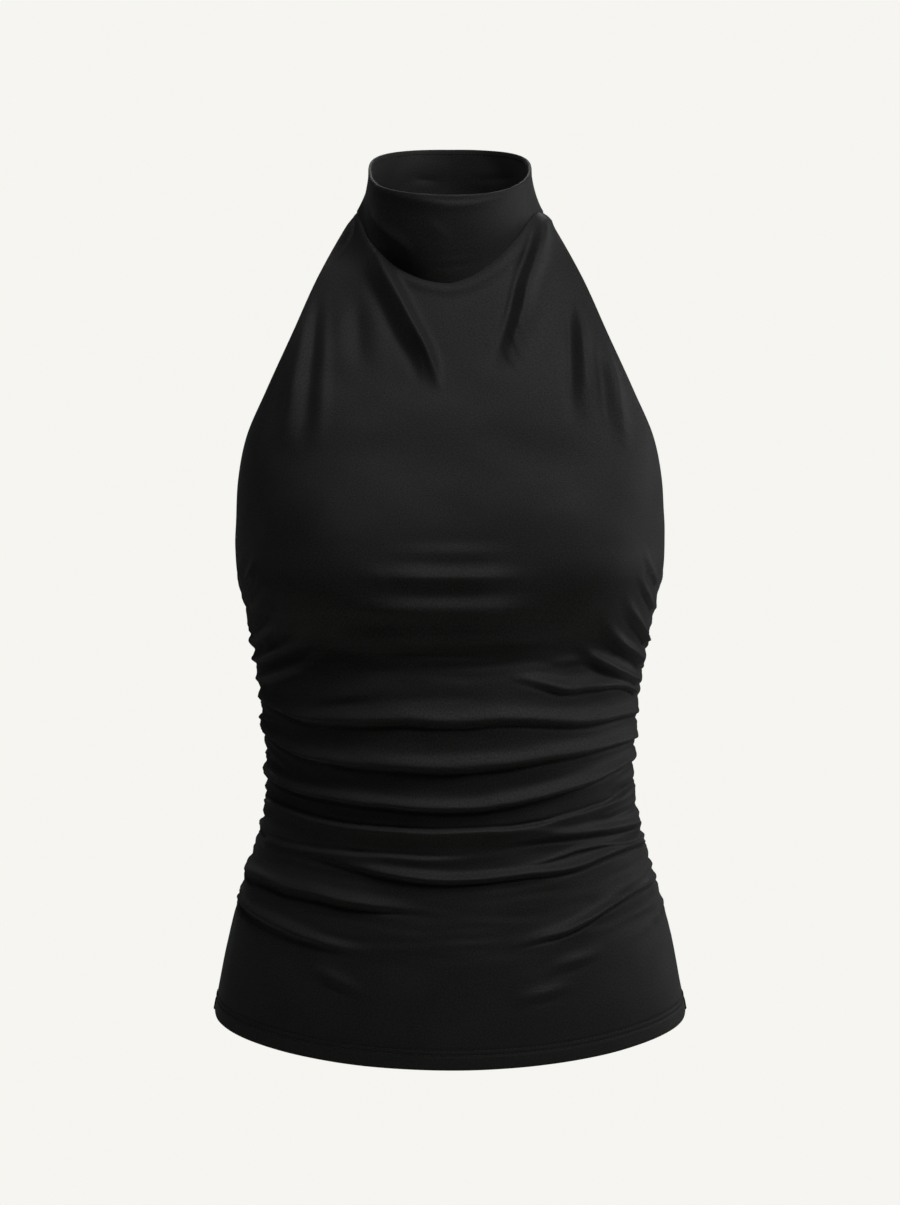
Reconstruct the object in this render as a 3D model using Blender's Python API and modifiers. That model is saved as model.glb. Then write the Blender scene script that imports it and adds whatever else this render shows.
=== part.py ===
"""Halter neck top in plain jersey, as it hangs filled out on a figure with no wearer in it.

The front panel rises from a curved hem to a draped funnel collar and leaves the shoulders bare.
The back panel stops below the shoulder blades, and both are ruched along the side seams.
Metres, +Z up, the front faces -Y, and the origin is the middle of the neck in the collar.
"""

from collections import namedtuple

import bmesh
import bpy
import numpy as np

# Driving dimensions
CLOTH = 0.0014  # wall of one layer of jersey
TURNED = 0.0024  # wall where an edge is turned in, and of the double collar
SEAM_GAP = 0.0004  # between the pieces along a seam
HEM_DEPTH = 0.012
EDGE_TURN = 0.006  # turning along the armholes and the top of the back
SEAM_TOP = -0.245  # height of the underarm, where the side seams begin
RUCHE_TOP = -0.262
RUCHE_END = -0.492
GATHERS = 22  # on each side seam, on the front and on the back
GATHER_DEPTH = 0.0014
GATHER_REACH = 0.020  # how far a gather runs into the panel before it has faded
SEAM_QUIET = 0.007  # long folds die out this close to a side seam
SEAM_HOLD = 0.60  # the seam takes this share of their depth beside it
SEAM_HOLD_REACH = 0.030
SEAM_HOLD_RISE = 0.025  # the hold sets in over this height on either side of the underarm
FOLD_REACH = 0.52  # how far a ledge comes out above its line, in widths of the fold
FOLD_FOOT = 0.22  # share of its depth that runs out slowly below, over this many widths
FOLD_FOOT_REACH = 1.6
FOLD_FADE = 0.35  # share of its length over which a fold dies away inside the panel
FOLD_AT_SEAM = 0.80  # beyond this share across a fold ends in a seam, at its full depth
HALF_PANEL = 0.15
NECK_QUIET = 0.006  # and this close to the seam of the collar
HEM_CORNER_RISE = 0.0035  # the hem's corners are rounded up to the side seams
HEM_CORNER_TALL = 0.024
HEM_CORNER_WIDE = 0.16  # as a share of the depth of the front or back
NECK_LEAN_REACH = 0.068  # how far down from the neck seam its lean is felt
SWELL_CLEAR = 0.035  # the front's broad swells fade out this close to its side edges
COLLAR_RIM_HALF = 0.0565
COLLAR_RIM_DEPTH = 0.0665
COLLAR_RIM_Y = -0.0105
COLLAR_RIM_Z = 0.022
COLLAR_RIM_TILT = 0.0235
COLLAR_RIM_SAG = 0.0045
COLLAR_NAPE_Y = 0.0615
COLLAR_NAPE_Z = 0.000
COLLAR_SLUMP = 0.0022
COLLAR_GIRTH = 0.066  # radius and height that the places of the collar's folds are scaled by
COLLAR_HEIGHT = 0.050

# Mesh of the walls
HEM_LEVELS = [-0.567, -0.561, -0.555, -0.543, -0.530, -0.517, -0.505]
FRONT_COLUMNS = 28
CHEST_ROWS = 26
BACK_COLUMNS = 16
FRONT_ROWS_A_GATHER = 3
BACK_ROWS_A_GATHER = 2
NAPE_COLUMNS = 24
COLLAR_ROWS = 10
JERSEY = (0.012, 0.012, 0.013, 1.0)

# Each row is one level of the front, named by the height of its side edge, and gives that edge
# and the centre front. square and wrap shape the section between them, as in a superellipse,
# and dip says how soon the row falls on its way to the centre.
Level = namedtuple("Level", "edge_z edge_x edge_y centre_z centre_y square wrap dip")
FRONT = [
    Level(-0.602, 0.1715, 0.000, -0.630, -0.1125, 2.0, 2.0, 0.70),
    Level(-0.567, 0.1652, 0.000, -0.5945, -0.1130, 2.0, 2.0, 0.70),
    Level(-0.532, 0.1584, 0.000, -0.559, -0.1135, 2.1, 2.0, 0.78),
    Level(-0.490, 0.1487, 0.000, -0.517, -0.1128, 2.1, 2.0, 0.86),
    Level(-0.450, 0.1364, 0.000, -0.477, -0.1100, 2.1, 2.0, 0.86),
    Level(-0.420, 0.1290, 0.000, -0.449, -0.1095, 2.1, 2.0, 0.86),
    Level(-0.395, 0.1273, 0.000, -0.424, -0.1120, 2.1, 2.0, 0.86),
    Level(-0.360, 0.1303, 0.000, -0.385, -0.1172, 2.2, 2.0, 0.80),
    Level(-0.340, 0.1327, 0.000, -0.358, -0.1192, 2.3, 2.0, 0.78),
    Level(-0.322, 0.1355, 0.000, -0.336, -0.1182, 2.5, 2.1, 0.76),
    Level(-0.311, 0.1375, 0.000, -0.3240, -0.1165, 2.75, 2.1, 0.76),
    Level(-0.300, 0.1397, 0.000, -0.313, -0.1178, 3.0, 2.1, 0.76),
    Level(-0.288, 0.1420, 0.000, -0.2970, -0.1262, 3.4, 2.1, 0.76),
    Level(-0.276, 0.1450, 0.000, -0.2810, -0.1318, 3.9, 2.1, 0.76),
    Level(-0.264, 0.1480, 0.000, -0.266, -0.1332, 4.4, 2.1, 0.76),
    Level(-0.245, 0.1498, 0.000, -0.245, -0.1322, 4.6, 2.1, 0.76),
    Level(-0.222, 0.1482, -0.024, -0.225, -0.1298, 4.8, 1.9, 0.70),
    Level(-0.196, 0.1456, -0.048, -0.205, -0.1250, 4.8, 1.7, 0.65),
    Level(-0.168, 0.1390, -0.066, -0.184, -0.1185, 4.8, 1.5, 0.65),
    Level(-0.138, 0.1256, -0.075, -0.159, -0.1120, 4.6, 1.4, 0.70),
    Level(-0.098, 0.1075, -0.072, -0.130, -0.1010, 4.0, 1.4, 0.72),
    Level(-0.056, 0.0901, -0.048, -0.100, -0.0890, 2.9, 1.5, 0.70),
    Level(-0.026, 0.0752, -0.026, -0.078, -0.0805, 2.2, 1.8, 0.66),
    Level(-0.0072, 0.0648, -0.013, -0.0645, -0.0750, 2.0, 2.0, 0.62),
]

# The neck seam is drawn up on the right: share of the half width, and how far up.
NECK_LEAN = [(0, 0), (0.25, 0.0035), (0.50, 0.0085), (0.70, 0.0125), (0.85, 0.0140), (0.94, 0.0100), (1, 0)]

BackLevel = namedtuple("BackLevel", "edge_z centre_z centre_y square wrap dip")
BACK = [
    BackLevel(-0.602, -0.623, 0.1190, 2.3, 2.1, 0.80),
    BackLevel(-0.567, -0.588, 0.1150, 2.3, 2.1, 0.80),
    BackLevel(-0.532, -0.553, 0.1110, 2.3, 2.1, 0.80),
    BackLevel(-0.490, -0.511, 0.1010, 2.3, 2.1, 0.80),
    BackLevel(-0.450, -0.470, 0.0870, 2.4, 2.1, 0.76),
    BackLevel(-0.406, -0.425, 0.0785, 2.4, 2.1, 0.76),
    BackLevel(-0.360, -0.377, 0.0820, 2.5, 2.1, 0.76),
    BackLevel(-0.300, -0.314, 0.0930, 2.6, 2.1, 0.76),
    BackLevel(-0.245, -0.258, 0.1000, 2.6, 2.1, 0.76),
]

# Broad swells of the front, and hollows where out is negative: the middle of each, its reach
# sideways and upwards, and how far it goes out.
Swell = namedtuple("Swell", "x z wide tall out")
SWELLS = [
    Swell(-0.070, -0.252, 0.050, 0.044, 0.0035),
    Swell(0.070, -0.252, 0.050, 0.044, 0.0035),
    Swell(-0.082, -0.308, 0.040, 0.024, -0.0062),
    Swell(0.076, -0.307, 0.038, 0.023, -0.0085),
]

# A fold runs through points (across, level): across is -1 at one side edge and +1 at the
# other, and level is a height of the side edge. Above its line the cloth comes out by depth to
# a ledge, and below the line it goes back in over the share soft of the fold's width. lip is 1
# for such a ledge, -1 for one that faces up, 0 for a plain valley, and a mix of them between.
# Above means towards +X of an upright fold.
Fold = namedtuple("Fold", "path depth width soft lip")
FRONT_FOLDS = [
    # hanging from the collar
    Fold([(-0.80, -0.011), (-0.44, -0.026), (-0.19, -0.066), (-0.06, -0.122)], 0.0070, 0.012, 0.60, 1.0),
    Fold([(0.89, -0.011), (0.52, -0.032), (0.48, -0.041), (0.32, -0.095)], 0.0072, 0.015, 0.34, 1.0),
    Fold([(-0.94, -0.060), (-0.89, -0.073), (-0.86, -0.082), (-0.62, -0.170)], 0.0046, 0.009, 0.50, 0.2),
    Fold([(-0.97, -0.107), (-0.84, -0.156), (-0.82, -0.169)], 0.0029, 0.009, 0.50, 0.3),
    Fold([(0.91, -0.056), (0.86, -0.066), (0.82, -0.082), (0.63, -0.149)], 0.0039, 0.015, 0.50, 1.0),
    Fold([(0.94, -0.086), (0.91, -0.112), (0.82, -0.140), (0.74, -0.172)], 0.0041, 0.011, 0.40, 1.0),
    # bridging the middle below the chest
    Fold([(-0.22, -0.248), (-0.02, -0.249), (0.22, -0.248)], 0.0020, 0.009, 0.70, 1.0),
    Fold([(-0.29, -0.263), (0.01, -0.264), (0.27, -0.263)], 0.0043, 0.010, 0.60, 1.0),
    Fold([(-0.35, -0.278), (0.07, -0.279), (0.32, -0.278)], 0.0048, 0.010, 0.60, 1.0),
    Fold([(-0.41, -0.294), (0.34, -0.293), (0.45, -0.291)], 0.0039, 0.009, 0.80, 1.0),
    # fanning out from the right seam
    Fold([(0.56, -0.259), (0.66, -0.272), (0.80, -0.284)], 0.0022, 0.006, 0.47, 1.0),
    Fold([(0.52, -0.273), (0.61, -0.284), (0.84, -0.306)], 0.0043, 0.006, 0.50, 1.0),
    Fold([(0.45, -0.283), (0.58, -0.298), (0.81, -0.319)], 0.0051, 0.006, 0.60, 1.0),
    Fold([(0.37, -0.292), (0.52, -0.312), (0.82, -0.333)], 0.0047, 0.006, 0.50, 1.0),
    Fold([(0.21, -0.308), (0.35, -0.316), (0.43, -0.317), (0.68, -0.330)], 0.0019, 0.006, 0.47, -0.4),
    Fold([(0.16, -0.316), (0.35, -0.327), (0.70, -0.333), (0.84, -0.341)], 0.0038, 0.007, 0.37, 1.0),
    # fanning out from the left seam
    Fold([(-0.82, -0.285), (-0.65, -0.273), (-0.56, -0.263)], 0.0022, 0.006, 0.50, 1.0),
    Fold([(-0.95, -0.309), (-0.67, -0.294), (-0.53, -0.278)], 0.0034, 0.006, 0.50, 1.0),
    Fold([(-0.95, -0.321), (-0.70, -0.312), (-0.50, -0.295), (-0.45, -0.288)], 0.0039, 0.006, 0.50, 1.0),
    Fold([(-0.98, -0.335), (-0.59, -0.318), (-0.38, -0.297)], 0.0039, 0.006, 0.50, 1.0),
    Fold([(-0.57, -0.339), (-0.22, -0.329), (-0.17, -0.329)], 0.0020, 0.009, 0.31, 1.0),
    # long folds across the waist
    Fold([(-0.96, -0.345), (-0.57, -0.348), (-0.10, -0.342), (0.91, -0.356)], 0.0044, 0.010, 0.28, 1.0),
    Fold([(-0.93, -0.360), (-0.60, -0.371), (0.26, -0.364), (0.97, -0.374)], 0.0051, 0.011, 0.25, 1.0),
    Fold([(-0.97, -0.394), (-0.89, -0.396), (-0.24, -0.391), (0.97, -0.387)], 0.0051, 0.010, 0.28, 1.0),
    Fold([(-0.91, -0.417), (-0.05, -0.406), (0.74, -0.407), (0.98, -0.407)], 0.0039, 0.013, 0.22, -1.0),
    Fold([(0.10, -0.415), (0.36, -0.416), (0.65, -0.425), (0.98, -0.435)], 0.0039, 0.009, 0.31, 1.0),
    Fold([(-0.85, -0.441), (-0.56, -0.434), (-0.31, -0.428), (0.16, -0.425)], 0.0020, 0.008, 0.35, -1.0),
    Fold([(-0.57, -0.438), (0.22, -0.440), (0.83, -0.444), (0.89, -0.446)], 0.0043, 0.009, 0.31, 1.0),
    Fold([(0.52, -0.410), (0.61, -0.414), (0.69, -0.415), (0.98, -0.420)], 0.0020, 0.005, 0.51, 1.0),
    # over the belly
    Fold([(-0.98, -0.468), (-0.94, -0.467), (-0.20, -0.461), (0.00, -0.463)], 0.0048, 0.011, 0.25, 1.0),
    Fold([(-0.91, -0.484), (-0.52, -0.490), (-0.19, -0.495)], 0.0043, 0.010, 0.28, 1.0),
    Fold([(0.16, -0.487), (0.37, -0.483), (0.61, -0.472), (0.88, -0.471)], 0.0051, 0.007, 0.37, 1.0),
    Fold([(0.29, -0.507), (0.32, -0.505), (0.54, -0.500)], 0.0026, 0.008, 0.35, 1.0),
    Fold([(0.18, -0.525), (0.25, -0.522), (0.42, -0.518)], 0.0022, 0.009, 0.33, 1.0),
    Fold([(-0.50, -0.508), (-0.38, -0.513), (-0.24, -0.523)], 0.0022, 0.009, 0.32, 1.0),
]
BACK_FOLDS = [
    Fold([(-0.98, -0.286), (-0.58, -0.296), (0.10, -0.303)], 0.0020, 0.008, 0.35, 1.0),
    Fold([(-0.20, -0.318), (0.24, -0.318), (0.98, -0.304)], 0.0024, 0.008, 0.35, 1.0),
    Fold([(-0.98, -0.324), (-0.54, -0.335), (0.20, -0.340)], 0.0026, 0.008, 0.35, 1.0),
    Fold([(-0.10, -0.358), (0.13, -0.359), (0.98, -0.342)], 0.0027, 0.008, 0.35, 1.0),
    Fold([(-0.98, -0.362), (-0.57, -0.371), (0.57, -0.373), (0.98, -0.366)], 0.0029, 0.009, 0.31, 1.0),
    Fold([(-0.98, -0.388), (-0.74, -0.393), (0.08, -0.402), (0.98, -0.388)], 0.0032, 0.009, 0.31, 1.0),
    Fold([(-0.98, -0.412), (0.07, -0.425), (0.49, -0.421), (0.70, -0.418)], 0.0024, 0.008, 0.35, 1.0),
    Fold([(-0.50, -0.444), (-0.07, -0.447), (0.67, -0.436), (0.98, -0.428)], 0.0027, 0.008, 0.35, 1.0),
    Fold([(-0.98, -0.446), (-0.40, -0.465), (0.14, -0.470), (0.30, -0.470)], 0.0027, 0.008, 0.35, 1.0),
    Fold([(0.10, -0.492), (0.29, -0.490), (0.98, -0.464)], 0.0024, 0.008, 0.35, 1.0),
    Fold([(-0.98, -0.480), (-0.65, -0.495), (-0.25, -0.506)], 0.0022, 0.008, 0.35, 1.0),
    Fold([(0.40, -0.521), (0.68, -0.512), (0.98, -0.491)], 0.0017, 0.008, 0.35, 1.0),
]

# Across is here the angle from the middle of the front, in degrees, and level is the share of
# the height from the neck seam up to the rim.
COLLAR_FOLDS = [
    Fold([(-54, 0.50), (-34, 0.32), (-15, 0.30)], 0.0032, 0.008, 0.50, 1.0),
    Fold([(-17, 0.38), (3, 0.36), (22, 0.39)], 0.0022, 0.007, 0.50, 1.0),
    Fold([(-15, 0.82), (0, 0.64), (9, 0.50)], 0.0022, 0.007, 0.50, 1.0),
]


def spline(knots, values, at):
    """Reads a smooth curve through the knots, with Catmull-Rom slopes."""
    knots, values, at = (np.asarray(a, float) for a in (knots, values, at))
    slopes = np.gradient(values, knots)
    i = np.clip(np.searchsorted(knots, at) - 1, 0, len(knots) - 2)
    span = knots[i + 1] - knots[i]
    t = (at - knots[i]) / span
    from_low = (1 + 2 * t) * (1 - t) ** 2 * values[i] + t * (1 - t) ** 2 * span * slopes[i]
    from_high = t * t * (3 - 2 * t) * values[i + 1] - t * t * (1 - t) * span * slopes[i + 1]
    return from_low + from_high


def column(table, name, level):
    return spline([row.edge_z for row in table], [getattr(row, name) for row in table], level)


def spread(points, across):
    """Points at the shares -1 to 1 given by across, evenly spaced along a fine row."""
    steps = np.linalg.norm(np.diff(points[:, :2], axis=0), axis=1)
    length = np.concatenate([[0], np.cumsum(steps)])
    at = (np.asarray(across) + 1) / 2 * length[-1]
    return np.stack([np.interp(at, length, c) for c in points.T], axis=-1)


def row_points(table, level, across):
    """One row of a panel, from side edge to side edge through the centre."""
    share = np.sin(np.linspace(-np.pi / 2, np.pi / 2, 241))
    rise = np.clip(1 - np.abs(share) ** column(table, "square", level), 0, 1)
    bulge = rise ** (1 / column(table, "wrap", level))
    centre_z = column(table, "centre_z", level)
    z = level + (centre_z - level) * rise ** column(table, "dip", level)
    if level <= SEAM_TOP:
        at_hem = np.clip(1 - (level - HEM_LEVELS[0]) / HEM_CORNER_TALL, 0, 1)
        z += HEM_CORNER_RISE * at_hem * np.exp(-((bulge / HEM_CORNER_WIDE) ** 2))
        depth_at = spline([row.centre_z for row in table], [row.centre_y for row in table], z)
        x = column(FRONT, "edge_x", z) * share
        y = depth_at * bulge
    else:
        felt = np.clip(1 - (FRONT[-1].edge_z - level) / NECK_LEAN_REACH, 0, 1) ** 2
        z += felt * spline(*zip(*NECK_LEAN), np.clip(share, 0, 1))
        edge_y = column(table, "edge_y", level)
        x = column(table, "edge_x", level) * share
        y = edge_y + (column(table, "centre_y", level) - edge_y) * bulge
    return spread(np.stack([x, y, z], axis=-1), across)


def outward_normals(points, outward_y):
    """Unit normals of a grid of points, turned to the side of the sign of outward_y."""
    along = np.gradient(points, axis=1)
    up = np.gradient(points, axis=0)
    normals = np.cross(along, up)
    normals /= np.linalg.norm(normals, axis=-1, keepdims=True)
    if normals[..., 1].sum() * outward_y < 0:
        normals = -normals
    return normals


def distances(points):
    """How far each point of a grid is from its nearer side edge, along its row."""
    steps = np.linalg.norm(np.diff(points, axis=1), axis=-1)
    run = np.concatenate([np.zeros((len(points), 1)), np.cumsum(steps, axis=1)], axis=1)
    return np.minimum(run, run[:, -1:] - run), run[:, -1]


def gather_phase(level):
    """Counts the gathers from the top of the ruching; they are wider apart at the top."""
    share = np.clip((RUCHE_TOP - level) / (RUCHE_TOP - RUCHE_END), 0, 1)
    return GATHERS * (0.75 * share + 0.25 * share**2)


def gather_wave(level, side, from_edge):
    """Outward movement of the small gathers beside a seam; side is -1 or +1."""
    share = (RUCHE_TOP - level) / (RUCHE_TOP - RUCHE_END)
    inside = np.clip(share * 14, 0, 1) * np.clip((1 - share) * 14, 0, 1)
    count = gather_phase(level)
    uneven = 0.72 + 0.28 * np.sin(2.1 * count + 1.3 * side) * np.sin(0.83 * count)
    wave = -np.cos(2 * np.pi * count)
    reach = GATHER_REACH * (1 + 0.45 * np.sin(1.7 * count + side))
    return GATHER_DEPTH * inside * uneven * wave * np.exp(-((from_edge / reach) ** 1.5))


def fold_line(path):
    """Points along a fold, on a smooth curve through its path."""
    steps = np.linalg.norm(np.diff(path * [HALF_PANEL, 1], axis=0), axis=1)
    knots = np.concatenate([[0], np.cumsum(steps)])
    along = np.linspace(0, knots[-1], 49)
    return np.stack([spline(knots, axis, along) for axis in path.T], axis=-1)


def fold_profile(beside, soft, lip):
    """Share of its depth that a fold moves the cloth out, this many widths beside its line."""
    side = -beside if lip < 0 else beside
    above = np.exp(-((np.maximum(side, 0) / FOLD_REACH) ** 1.9))
    below = FOLD_FOOT * np.exp(np.minimum(side, 0) / FOLD_FOOT_REACH)
    below += (1 - FOLD_FOOT) * np.exp(-((np.maximum(-side, 0) / soft) ** 1.4))
    valley = 0.35 * np.exp(-(((abs(side) - 1.3) / 0.6) ** 2)) - np.exp(-((side / 0.6) ** 2))
    return abs(lip) * np.where(side > 0, above, below) + (1 - abs(lip)) * valley


def fold_field(folds, across, level, half_run):
    """Outward movement of the long folds over a grid; half_run is half the length of each row."""
    place = np.stack(np.broadcast_arrays(across * half_run, level), axis=-1)
    total = np.zeros(place.shape[:2])
    for fold in folds:
        path = np.array(fold.path)
        line = fold_line(path)
        line[:, 0] *= np.interp(line[:, 1], level[:, 0], half_run[:, 0])
        run = np.gradient(line, axis=0)
        run /= np.linalg.norm(run, axis=1, keepdims=True)
        level_fold = abs(run[:, 0]).mean() > abs(run[:, 1]).mean()
        run *= np.sign(run[:, 0].sum()) if level_fold else -np.sign(run[:, 1].sum())
        offset = place[..., None, :] - line
        nearest = np.linalg.norm(offset, axis=-1).argmin(axis=-1)
        offset = np.take_along_axis(offset, nearest[..., None, None], axis=-2)[..., 0, :]
        run = run[nearest]
        beside = offset[..., 1] * run[..., 0] - offset[..., 0] * run[..., 1]
        at_end = (nearest == 0) | (nearest == len(line) - 1)
        beyond = np.where(at_end, (offset * run).sum(-1), 0)
        share = nearest / (len(line) - 1)
        grow = np.exp(-((beyond / fold.width) ** 2))
        for end, from_end in ((0, share), (-1, 1 - share)):
            if abs(path[end, 0]) < FOLD_AT_SEAM:
                inside = np.clip(from_end / FOLD_FADE, 0, 1)
                grow *= inside * inside * (3 - 2 * inside)
        total += fold.depth * grow * fold_profile(beside / fold.width, fold.soft, fold.lip)
    return total


def let_out(points, from_edge, swells):
    """Moves the points of a panel out or in over its swells, which stay clear of the side edges."""
    inside = 1 - np.exp(-((from_edge / SWELL_CLEAR) ** 2))
    for swell in swells:
        sideways = (points[..., 0] - swell.x) / swell.wide
        upwards = (points[..., 2] - swell.z) / swell.tall
        points[..., 1] -= swell.out * inside * np.exp(-(sideways**2) - upwards**2)


def panel_points(table, folds, swells, levels, columns, outward_y):
    """The outer points of a panel: its base form, its long folds and its gathers."""
    across = np.array([shares(columns, level) for level in levels])
    points = np.array([row_points(table, level, row) for level, row in zip(levels, across)])
    from_edge, run = distances(points)
    let_out(points, from_edge, swells)
    normals = outward_normals(points, outward_y)
    on_seam = levels <= SEAM_TOP
    normals[np.ix_(on_seam, [0, -1], [1])] = 0
    normals /= np.linalg.norm(normals, axis=-1, keepdims=True)
    level = levels[:, None]
    held = SEAM_HOLD * np.clip(0.5 + (SEAM_TOP - level) / (2 * SEAM_HOLD_RISE), 0, 1)
    held = held * np.exp(-((from_edge / SEAM_HOLD_REACH) ** 2))
    moved = fold_field(folds, across, level, run[:, None] / 2) * (1 - held)
    moved *= 1 - np.exp(-((from_edge / SEAM_QUIET) ** 2))
    moved *= 1 - np.exp(-(((level - levels[-1]) / NECK_QUIET) ** 2))
    moved += gather_wave(level, np.sign(across), from_edge)
    points += normals * moved[..., None]
    clear = outward_y * SEAM_GAP / 2
    seam = points[on_seam]
    seam[..., 1] = np.maximum(seam[..., 1] * outward_y, clear * outward_y) * outward_y
    points[on_seam] = seam
    return points


def ruche_levels(rows_a_gather):
    """Levels of the ruching from its end up to its top, so that each gather has as many rows."""
    fine = np.linspace(RUCHE_TOP, RUCHE_END, 4001)
    wanted = np.linspace(GATHERS, 0, rows_a_gather * GATHERS + 1)
    return np.interp(wanted, gather_phase(fine), fine)


def shares(count, level):
    """Shares from -1 to 1 along a row, which lie closer together at the side seams."""
    even = np.linspace(-1, 1, count + 1)
    closer = 0.38 * np.clip((-0.10 - level) / 0.12, 0, 1)
    return even + closer * (np.sin(even * np.pi / 2) - even)


def grid_object(name, points, thickness_share, turn_over=False):
    """A wall with these outer points: a grid shaped to them, and Solidify for the cloth."""
    rows, columns = points.shape[:2]
    shape = bmesh.new()
    bmesh.ops.create_grid(shape, x_segments=columns - 1, y_segments=rows - 1, size=1)
    shape.verts.ensure_lookup_table()
    for vertex, place in zip(shape.verts, points.reshape(-1, 3)):
        vertex.co = place
    if turn_over:
        bmesh.ops.reverse_faces(shape, faces=shape.faces)
    mesh = bpy.data.meshes.new(name)
    shape.to_mesh(mesh)
    shape.free()
    mesh.shade_smooth()
    wall = bpy.data.objects.new(name, mesh)
    group = wall.vertex_groups.new(name="layers")
    for index, weight in enumerate(thickness_share.ravel()):
        group.add([index], float(weight), "REPLACE")
    cloth = wall.modifiers.new("cloth", "SOLIDIFY")
    cloth.thickness = TURNED
    cloth.offset = -1
    cloth.vertex_group = group.name
    cloth.use_even_offset = True
    return wall


def turned_share(is_turned):
    """Weight of each point for Solidify: 1 in a turned edge, and one layer elsewhere."""
    return np.where(is_turned, 1.0, CLOTH / TURNED)


def front_panel():
    chest = np.linspace(SEAM_TOP, FRONT[-1].edge_z, CHEST_ROWS + 1)
    levels = np.concatenate([HEM_LEVELS, ruche_levels(FRONT_ROWS_A_GATHER), chest])
    points = panel_points(FRONT, FRONT_FOLDS, SWELLS, levels, FRONT_COLUMNS, -1)
    points[-1, :, 2] -= SEAM_GAP
    from_edge, _ = distances(points)
    level = levels[:, None]
    hem_turn = np.broadcast_to(level <= HEM_LEVELS[0] + HEM_DEPTH + 0.0001, from_edge.shape)
    armhole_turn = (from_edge <= EDGE_TURN) & (level > SEAM_TOP)
    return grid_object("front_panel", points, turned_share(hem_turn | armhole_turn))


def back_panel():
    top = [SEAM_TOP - EDGE_TURN, SEAM_TOP - EDGE_TURN / 2, SEAM_TOP]
    levels = np.concatenate([HEM_LEVELS, ruche_levels(BACK_ROWS_A_GATHER), top])
    points = panel_points(BACK, BACK_FOLDS, [], levels, BACK_COLUMNS, 1)
    level = levels[:, None]
    turned = (level <= HEM_LEVELS[0] + HEM_DEPTH + 0.0001) | (level >= SEAM_TOP - EDGE_TURN - 0.0001)
    turned = np.broadcast_to(turned, points.shape[:2])
    return grid_object("back_panel", points, turned_share(turned), turn_over=True)


def collar_seam():
    """Lower ring of the collar: along the top of the front, then round the nape."""
    top = FRONT[-1].edge_z
    front = row_points(FRONT, top, shares(FRONT_COLUMNS, top))
    edge = front[-1]
    turn = np.linspace(0, np.pi, NAPE_COLUMNS + 1)[1:-1]
    x = edge[0] * np.cos(turn)
    y = edge[1] + (COLLAR_NAPE_Y - edge[1]) * np.sin(turn)
    z = edge[2] + (COLLAR_NAPE_Z - edge[2]) * np.sin(turn)
    return np.concatenate([front, np.stack([x, y, z], axis=-1)])


def collar_rim(seam):
    """Upper ring of the collar: a tilted, sagging oval, with a point above each of the seam's."""
    angle = np.arctan2(seam[:, 0], -(seam[:, 1] - COLLAR_RIM_Y))
    round_out = (abs(np.sin(angle)) ** 2.3 + abs(np.cos(angle)) ** 2.3) ** (-1 / 2.3)
    x = COLLAR_RIM_HALF * round_out * np.sin(angle)
    forward = round_out * np.cos(angle)
    y = COLLAR_RIM_Y - COLLAR_RIM_DEPTH * forward
    z = COLLAR_RIM_Z - COLLAR_RIM_TILT * forward - COLLAR_RIM_SAG * forward**2
    return np.stack([x, y, z], axis=-1), angle


def collar_drape(angle, shares_up):
    """Outward movement of the collar's loose front: a slump between its rings, and its folds."""
    scale = [np.radians(COLLAR_GIRTH), COLLAR_HEIGHT]
    folds = [fold._replace(path=np.multiply(fold.path, scale)) for fold in COLLAR_FOLDS]
    level = shares_up[:, None] * COLLAR_HEIGHT
    drape = fold_field(folds, COLLAR_GIRTH * angle[None, :], level, np.ones_like(level))
    loose = np.clip(np.cos(angle), 0, 1) ** 1.2 * np.sin(np.pi * shares_up[:, None]) ** 1.2
    return drape * np.sin(np.pi * shares_up[:, None]) ** 0.35 + COLLAR_SLUMP * loose


def collar():
    """A closed funnel that slumps a little at the front."""
    seam = collar_seam()
    rim, angle = collar_rim(seam)
    shares_up = np.linspace(0, 1, COLLAR_ROWS + 1)
    drape = collar_drape(angle, shares_up)
    rows = []
    for share, out in zip(shares_up, drape):
        sideways = (1 - share) ** (1.1 + 1.1 * abs(np.sin(angle)))
        ring = rim + (seam - rim) * np.stack([sideways, sideways, 0 * angle + 1 - share], axis=-1)
        ring[:, 0] += out * np.sin(angle)
        ring[:, 1] -= out * np.cos(angle)
        rows.append(ring)
    rows = np.array(rows)
    rows = np.concatenate([rows, rows[:, :1]], axis=1)
    band = grid_object("collar", rows, np.ones(rows.shape[:2]))
    weld = band.modifiers.new("join", "WELD")
    weld.merge_threshold = 0.00001
    band.modifiers.move(1, 0)
    return band


def jersey_material():
    material = bpy.data.materials.new("black jersey")
    material.use_nodes = True
    surface = material.node_tree.nodes["Principled BSDF"]
    surface.inputs["Base Color"].default_value = JERSEY
    surface.inputs["Roughness"].default_value = 0.7
    surface.inputs["Metallic"].default_value = 0.0
    return material


def main():
    for old in list(bpy.data.objects):
        bpy.data.objects.remove(old)
    top = bpy.data.collections.new("halter neck top")
    bpy.context.scene.collection.children.link(top)
    for piece in (front_panel(), back_panel(), collar()):
        piece.data.materials.append(jersey_material())
        top.objects.link(piece)


main()
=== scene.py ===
"""Dresses the halter neck top: jersey panels with turned edges, ruching, drape folds and stitching."""

import math
from collections import namedtuple

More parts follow.
